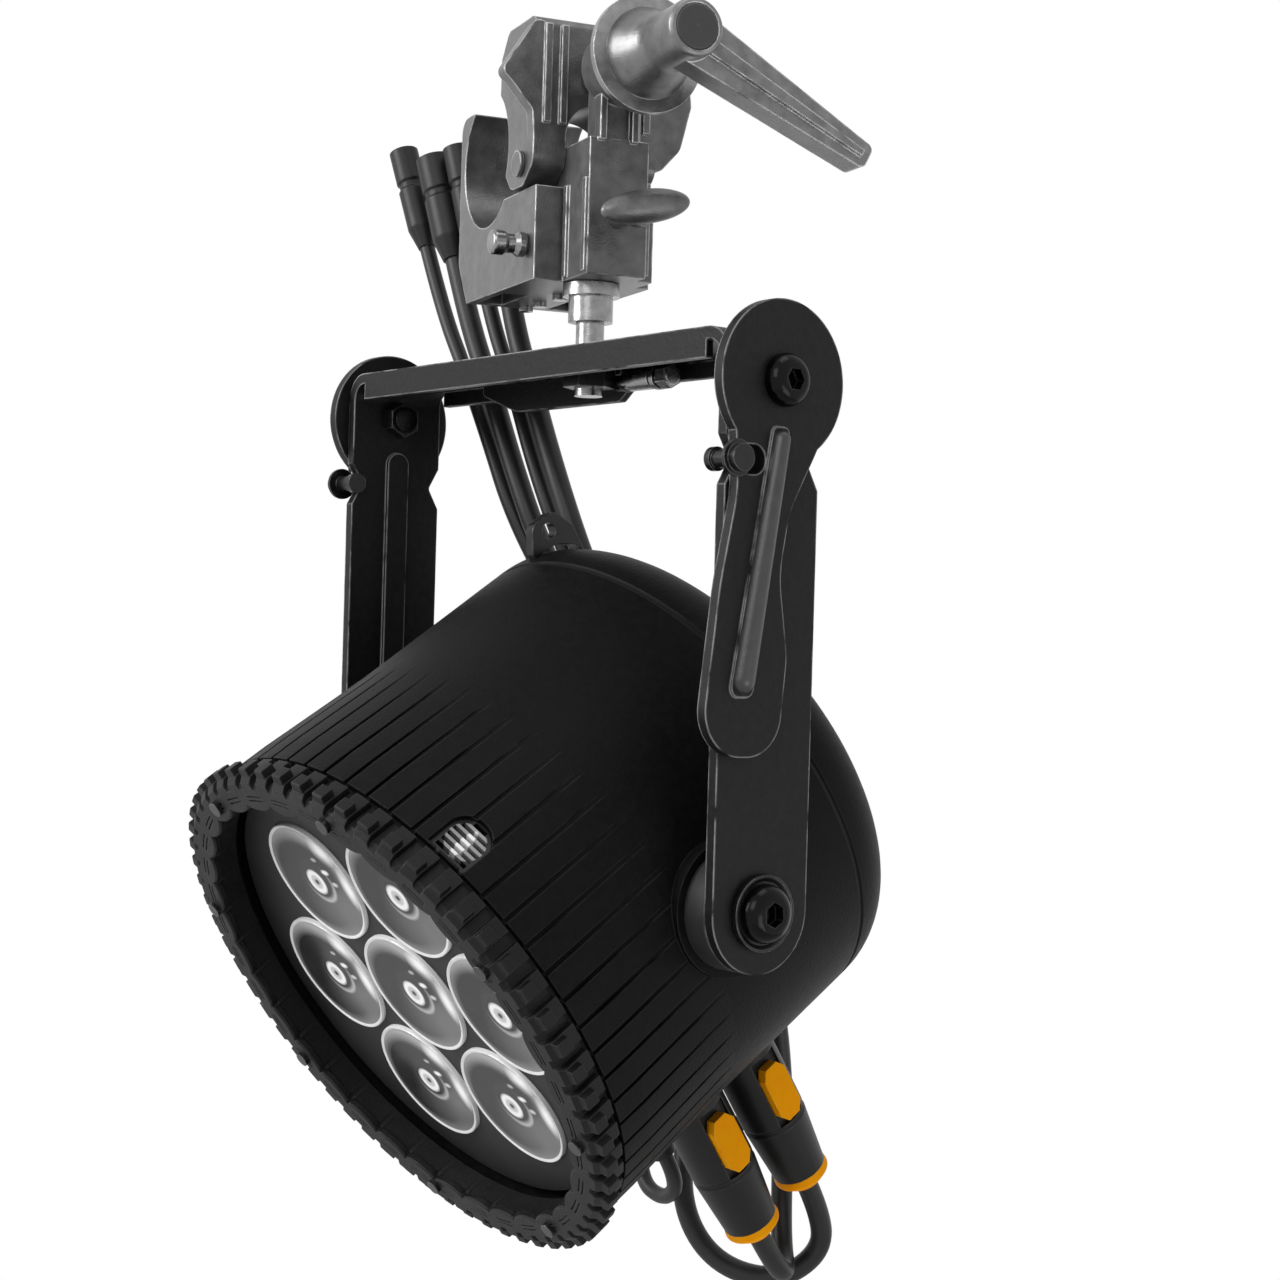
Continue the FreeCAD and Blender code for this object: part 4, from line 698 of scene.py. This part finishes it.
dish = [
    (r, DISH_DEPTH * (1 - (r / DISH_RADIUS) ** 6) + 0.3)
    for r in (0, 3, 6, 9, 12, 15, 17, 19, 20.5, 21.5, 22.3, DISH_RADIUS)
]
LENS_PROFILE = dish + [
    (23.5, 0.0), (24.0, 0.0), (24.3, 0.5), (24.1, 4.0), (21.8, 6.5), (8.4, 24.0), (0, 24.0),
]
LENS_SKINS = [0] * (len(dish) - 1) + [1] * 7
seats = [(0, 0)] + [
    (LENS_PITCH * math.cos(math.tau * k / 6), LENS_PITCH * math.sin(math.tau * k / 6))
    for k in range(6)
]
for number, (x, z) in enumerate(seats, start=1):
    optic = spun(f"lens_{number}_optic", LENS_PROFILE, LENS_SKINS, (x, LENS_FACE, z), in_head)
    for skin in (acrylic_face, rim_acrylic):
        optic.data.materials.append(skin)
    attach(optic, "head")
    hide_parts(f"lens_{number}")
print("lenses", len(seats), "of", LENS_RADIUS * 2, "mm")

# %% [markdown]
# ## Bezel
#
# The bezel is a casting with more going on than the plain ring of the CAD model:
# its inner edge is a row of shallow lobes that bite into the view of the lenses,
# each with two fine drainage grooves in its face, and its outer edge carries the
# gripping knobs. It is one ring of many thin slices, and each slice's outline
# depends on its angle.

# %% Bezel
BEZEL_BACK = -70.2
SLICES = 1440
TEETH = 60
LOBES = 36
LOBE_TURN = 7.5
KNOB_RADIUS, KNOB_SHARE = 101.5, 0.25
RIM_RADIUS, RIM_SHARE = 98.7, 0.31
ROOT_RADIUS = 96.2
SEAT_RADIUS = 87.4
LIP_RADIUS = 88.3
LOBE_BITE, LOBE_FULLNESS = 2.7, 0.55
GROOVE_DEPTH = 0.6
GROOVE_FROM, GROOVE_TO = 0.22, 0.78


def bezel_outline(angle):
    """One slice of the bezel as (radius, depth) pairs, from the inner back round."""
    tooth = (angle / 360 * TEETH) % 1
    from_middle = abs(tooth - 0.5)
    base = RIM_RADIUS if from_middle < RIM_SHARE else ROOT_RADIUS
    knob = KNOB_RADIUS if from_middle < KNOB_SHARE else base
    lobe = ((angle - LOBE_TURN) / 360 * LOBES) % 1
    inner = LIP_RADIUS - LOBE_BITE * math.sin(math.pi * lobe) ** LOBE_FULLNESS
    groove = GROOVE_DEPTH if GROOVE_FROM < lobe < GROOVE_TO else 0.0
    front = BEZEL_FRONT
    return [
        (SEAT_RADIUS, BEZEL_BACK), (SEAT_RADIUS, front + 3.2),
        (inner, front + 2.6), (inner, front + 0.6),
        (inner + 0.6, front), (89.6, front), (89.7, front + groove), (90.2, front + groove),
        (90.3, front), (91.2, front), (91.3, front + groove), (91.8, front + groove),
        (91.9, front), (base - 2.0, front), (base - 0.3, front + 1.5), (knob - 0.3, front + 1.6),
        (knob, front + 2.0), (knob, front + 6.4), (base, front + 6.6), (base, BEZEL_BACK),
    ]


bm = bmesh.new()
rings = []
for index in range(SLICES):
    angle = 360 * index / SLICES
    turn_x, turn_z = math.cos(math.radians(angle)), math.sin(math.radians(angle))
    rings.append([
        bm.verts.new(in_head @ Vector((r * turn_x, a, r * turn_z)))
        for r, a in bezel_outline(angle)
    ])
for index in range(SLICES):
    first, second = rings[index], rings[(index + 1) % SLICES]
    for k in range(len(first)):
        after = (k + 1) % len(first)
        bm.faces.new((first[k], first[after], second[after], second[k]))
bezel_ring = as_piece("bezel_ring", bm)
bezel_ring.data.materials.append(bezel_coat)
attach(bezel_ring, "head")
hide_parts("bezel")
print("bezel with", TEETH, "knobs and", LOBES, "lobes")

# %% [markdown]
# ## Ridges on the feet
#
# Each swinging foot is stiffened by a ridge pressed into the plate. It is rounded
# like a drawn bead, so its crest catches a long soft line of light; its coat is
# drawn greyer than the yoke's, partly as a painted sheen along it. The far foot
# leans a few degrees about its corner, and its ridge leans with it.

# %% Foot ridges
RIDGE_FROM, RIDGE_TO = Vector((0, -1.0, 154.2)), Vector((0, -15.3, 70.0))
RIDGE_BASE, RIDGE_RISE = 117.4, 4.0
RIDGE_HALVES = (3.2, 4.4)
RIDGE_TIP = 0.04
RIDGE_STEPS = 60
RIDGE_SIDES = 12
FAR_LEAN = 7
CORNER = Vector((0, 0, 170))


def ridge(name, side, lean):
    """A long rounded bead on the outer face of a foot."""
    span = RIDGE_TO - RIDGE_FROM
    length, along = span.length, span.normalized()
    across = Vector((1, 0, 0)).cross(along)
    leaning = Matrix.Rotation(math.radians(lean), 4, "X")
    about_corner = Matrix.Translation(CORNER) @ leaning @ Matrix.Translation(-CORNER)
    bm = bmesh.new()
    rows = []
    for step in range(RIDGE_STEPS + 1):
        far = length * (1 - math.cos(math.pi * step / RIDGE_STEPS)) / 2
        half = RIDGE_HALVES[0] + (RIDGE_HALVES[1] - RIDGE_HALVES[0]) * far / length
        short = max(0.0, half - min(far, length - far))
        shrink = max(RIDGE_TIP, math.sqrt(max(0.0, 1 - (short / half) ** 2)))
        row = []
        for k in range(RIDGE_SIDES + 1):
            t = math.pi * k / RIDGE_SIDES
            sideways, rise = half * shrink * math.cos(t), RIDGE_RISE * shrink * math.sin(t)
            flat = about_corner @ (RIDGE_FROM + along * far + across * sideways)
            raised = Vector((side * (RIDGE_BASE + rise), flat.y, flat.z))
            row.append(bm.verts.new(in_yoke @ raised))
        rows.append(row)
    for first, second in zip(rows, rows[1:]):
        for k in range(len(first)):
            after = (k + 1) % len(first)
            bm.faces.new((first[k], first[after], second[after], second[k]))
    bm.faces.new(rows[0])
    bm.faces.new(rows[-1])
    return as_piece(name, bm)


for side, body, lean in ((1, "foot_left", 0), (-1, "foot_right", FAR_LEAN)):
    bead = ridge(body + "_ridge", side, lean)
    bead.data.materials.append(rubbed_and_sheen_coat)
    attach(bead, body)
print("ridges", round((RIDGE_TO - RIDGE_FROM).length, 1), "mm long on both feet")

# %% [markdown]
# ## Rear cap
#
# The rear cap is turned, with the soft round of a drawn shell and a fine step
# beside its seam.

# %% Rear cap
CAP_RADIUS = 97.3
CAP_SEAM = 57.3
CAP_FACE = 82.4
CAP_ROUND = 22
corner = [
    (
        CAP_RADIUS - CAP_ROUND * (1 - math.cos(math.radians(t))),
        CAP_FACE - CAP_ROUND * (1 - math.sin(math.radians(t))),
    )
    for t in range(0, 91, 6)
]
CAP_PROFILE = [
    (CAP_RADIUS - 3, CAP_SEAM), (CAP_RADIUS - 0.5, CAP_SEAM), (CAP_RADIUS, CAP_SEAM + 0.5),
    (CAP_RADIUS, CAP_SEAM + 2.2),
] + corner + [(0, CAP_FACE), (0, CAP_FACE - 3), (70, CAP_FACE - 3), (CAP_RADIUS - 3, CAP_SEAM)]
cap = spun("rear_cap", CAP_PROFILE, [0] * len(CAP_PROFILE), (0, 0, 0), in_head, sides=160)
cap.data.materials.append(housing_coat)
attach(cap, "head")
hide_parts("rear_cover")
print("rear cap", round(CAP_FACE - CAP_SEAM, 1), "mm deep")

# %% [markdown]
# ## Light and floor
#
# A soft studio: an even white surround, and one strong lamp from the side that the
# beam points to, so that the ribs, edges and bolts keep their shape. Three weak
# ones stand in front, above, and low on the other side, so that the latches
# under the can aren't lost in shadow. The surround lights matt surfaces only
# weakly, but a camera or a reflection sees it at full white. The floor lies well
# below, because the lamp hangs.

# %% Lights
AIM = Vector((0, 0, 60))
SURROUND_LIGHT = 0.3


def soft_lamp(name, offset, size, watts):
    """A square lamp that looks at the head from an offset in the camera's axes."""
    lamp = bpy.data.lights.new(name, "AREA")
    lamp.shape = "SQUARE"
    lamp.size = size
    lamp.energy = watts
    holder = bpy.data.objects.new(name, lamp)
    scene.collection.objects.link(holder)
    aim = in_yoke @ AIM
    place = aim + right * offset[0] + up * offset[1] + back * offset[2]
    facing = (place - aim).to_track_quat("Z", "Y").to_matrix().to_4x4()
    holder.matrix_world = Matrix.Translation(place) @ facing


soft_lamp("side_lamp", (-1.8, 0.8, 0.5), 1.0, 36)
soft_lamp("front_lamp", (-0.5, 0.9, 1.6), 0.9, 9)
soft_lamp("top_lamp", (0.5, 1.9, 0.4), 1.0, 7)
soft_lamp("fill_lamp", (1.3, -0.7, 1.1), 0.9, 7)

world = bpy.data.worlds.new("studio")
scene.world = world
world.use_nodes = True
sky = world.node_tree
sky.nodes.clear()
seen = node(sky, "LightPath", out="Is Camera Ray")
glossy = node(sky, "LightPath", out="Is Glossy Ray")
through = node(sky, "LightPath", out="Is Transmission Ray")
first = node(sky, "Math", {0: seen, 1: glossy}, operation="MAXIMUM")
shown = node(sky, "Math", {0: first, 1: through}, operation="MAXIMUM")
level = node(sky, "MapRange", {"Value": shown, "To Min": SURROUND_LIGHT, "To Max": 1.0})
white = node(sky, "Background", {"Color": (1, 1, 1, 1), "Strength": level})
node(sky, "OutputWorld", {"Surface": white})
print("world at", SURROUND_LIGHT, "with four lamps")

# %% Floor
FLOOR = -0.9
FLOOR_RADIUS = 1.3
bm = bmesh.new()
level_with_floor = Matrix.Translation((0, 0, FLOOR))
bmesh.ops.create_circle(
    bm, cap_ends=True, segments=96, radius=FLOOR_RADIUS, matrix=level_with_floor,
)
floor = as_piece("floor", bm, smooth=False)
floor_paint = surface(
    "pale_studio_floor", "ececec", "f4f4f4", "ffffff", 60, 3, 0.02, 0.5, (0.7, 0.8),
)
floor.data.materials.append(floor_paint)
scene.view_settings.view_transform = "Standard"
print("floor at", FLOOR, "m")
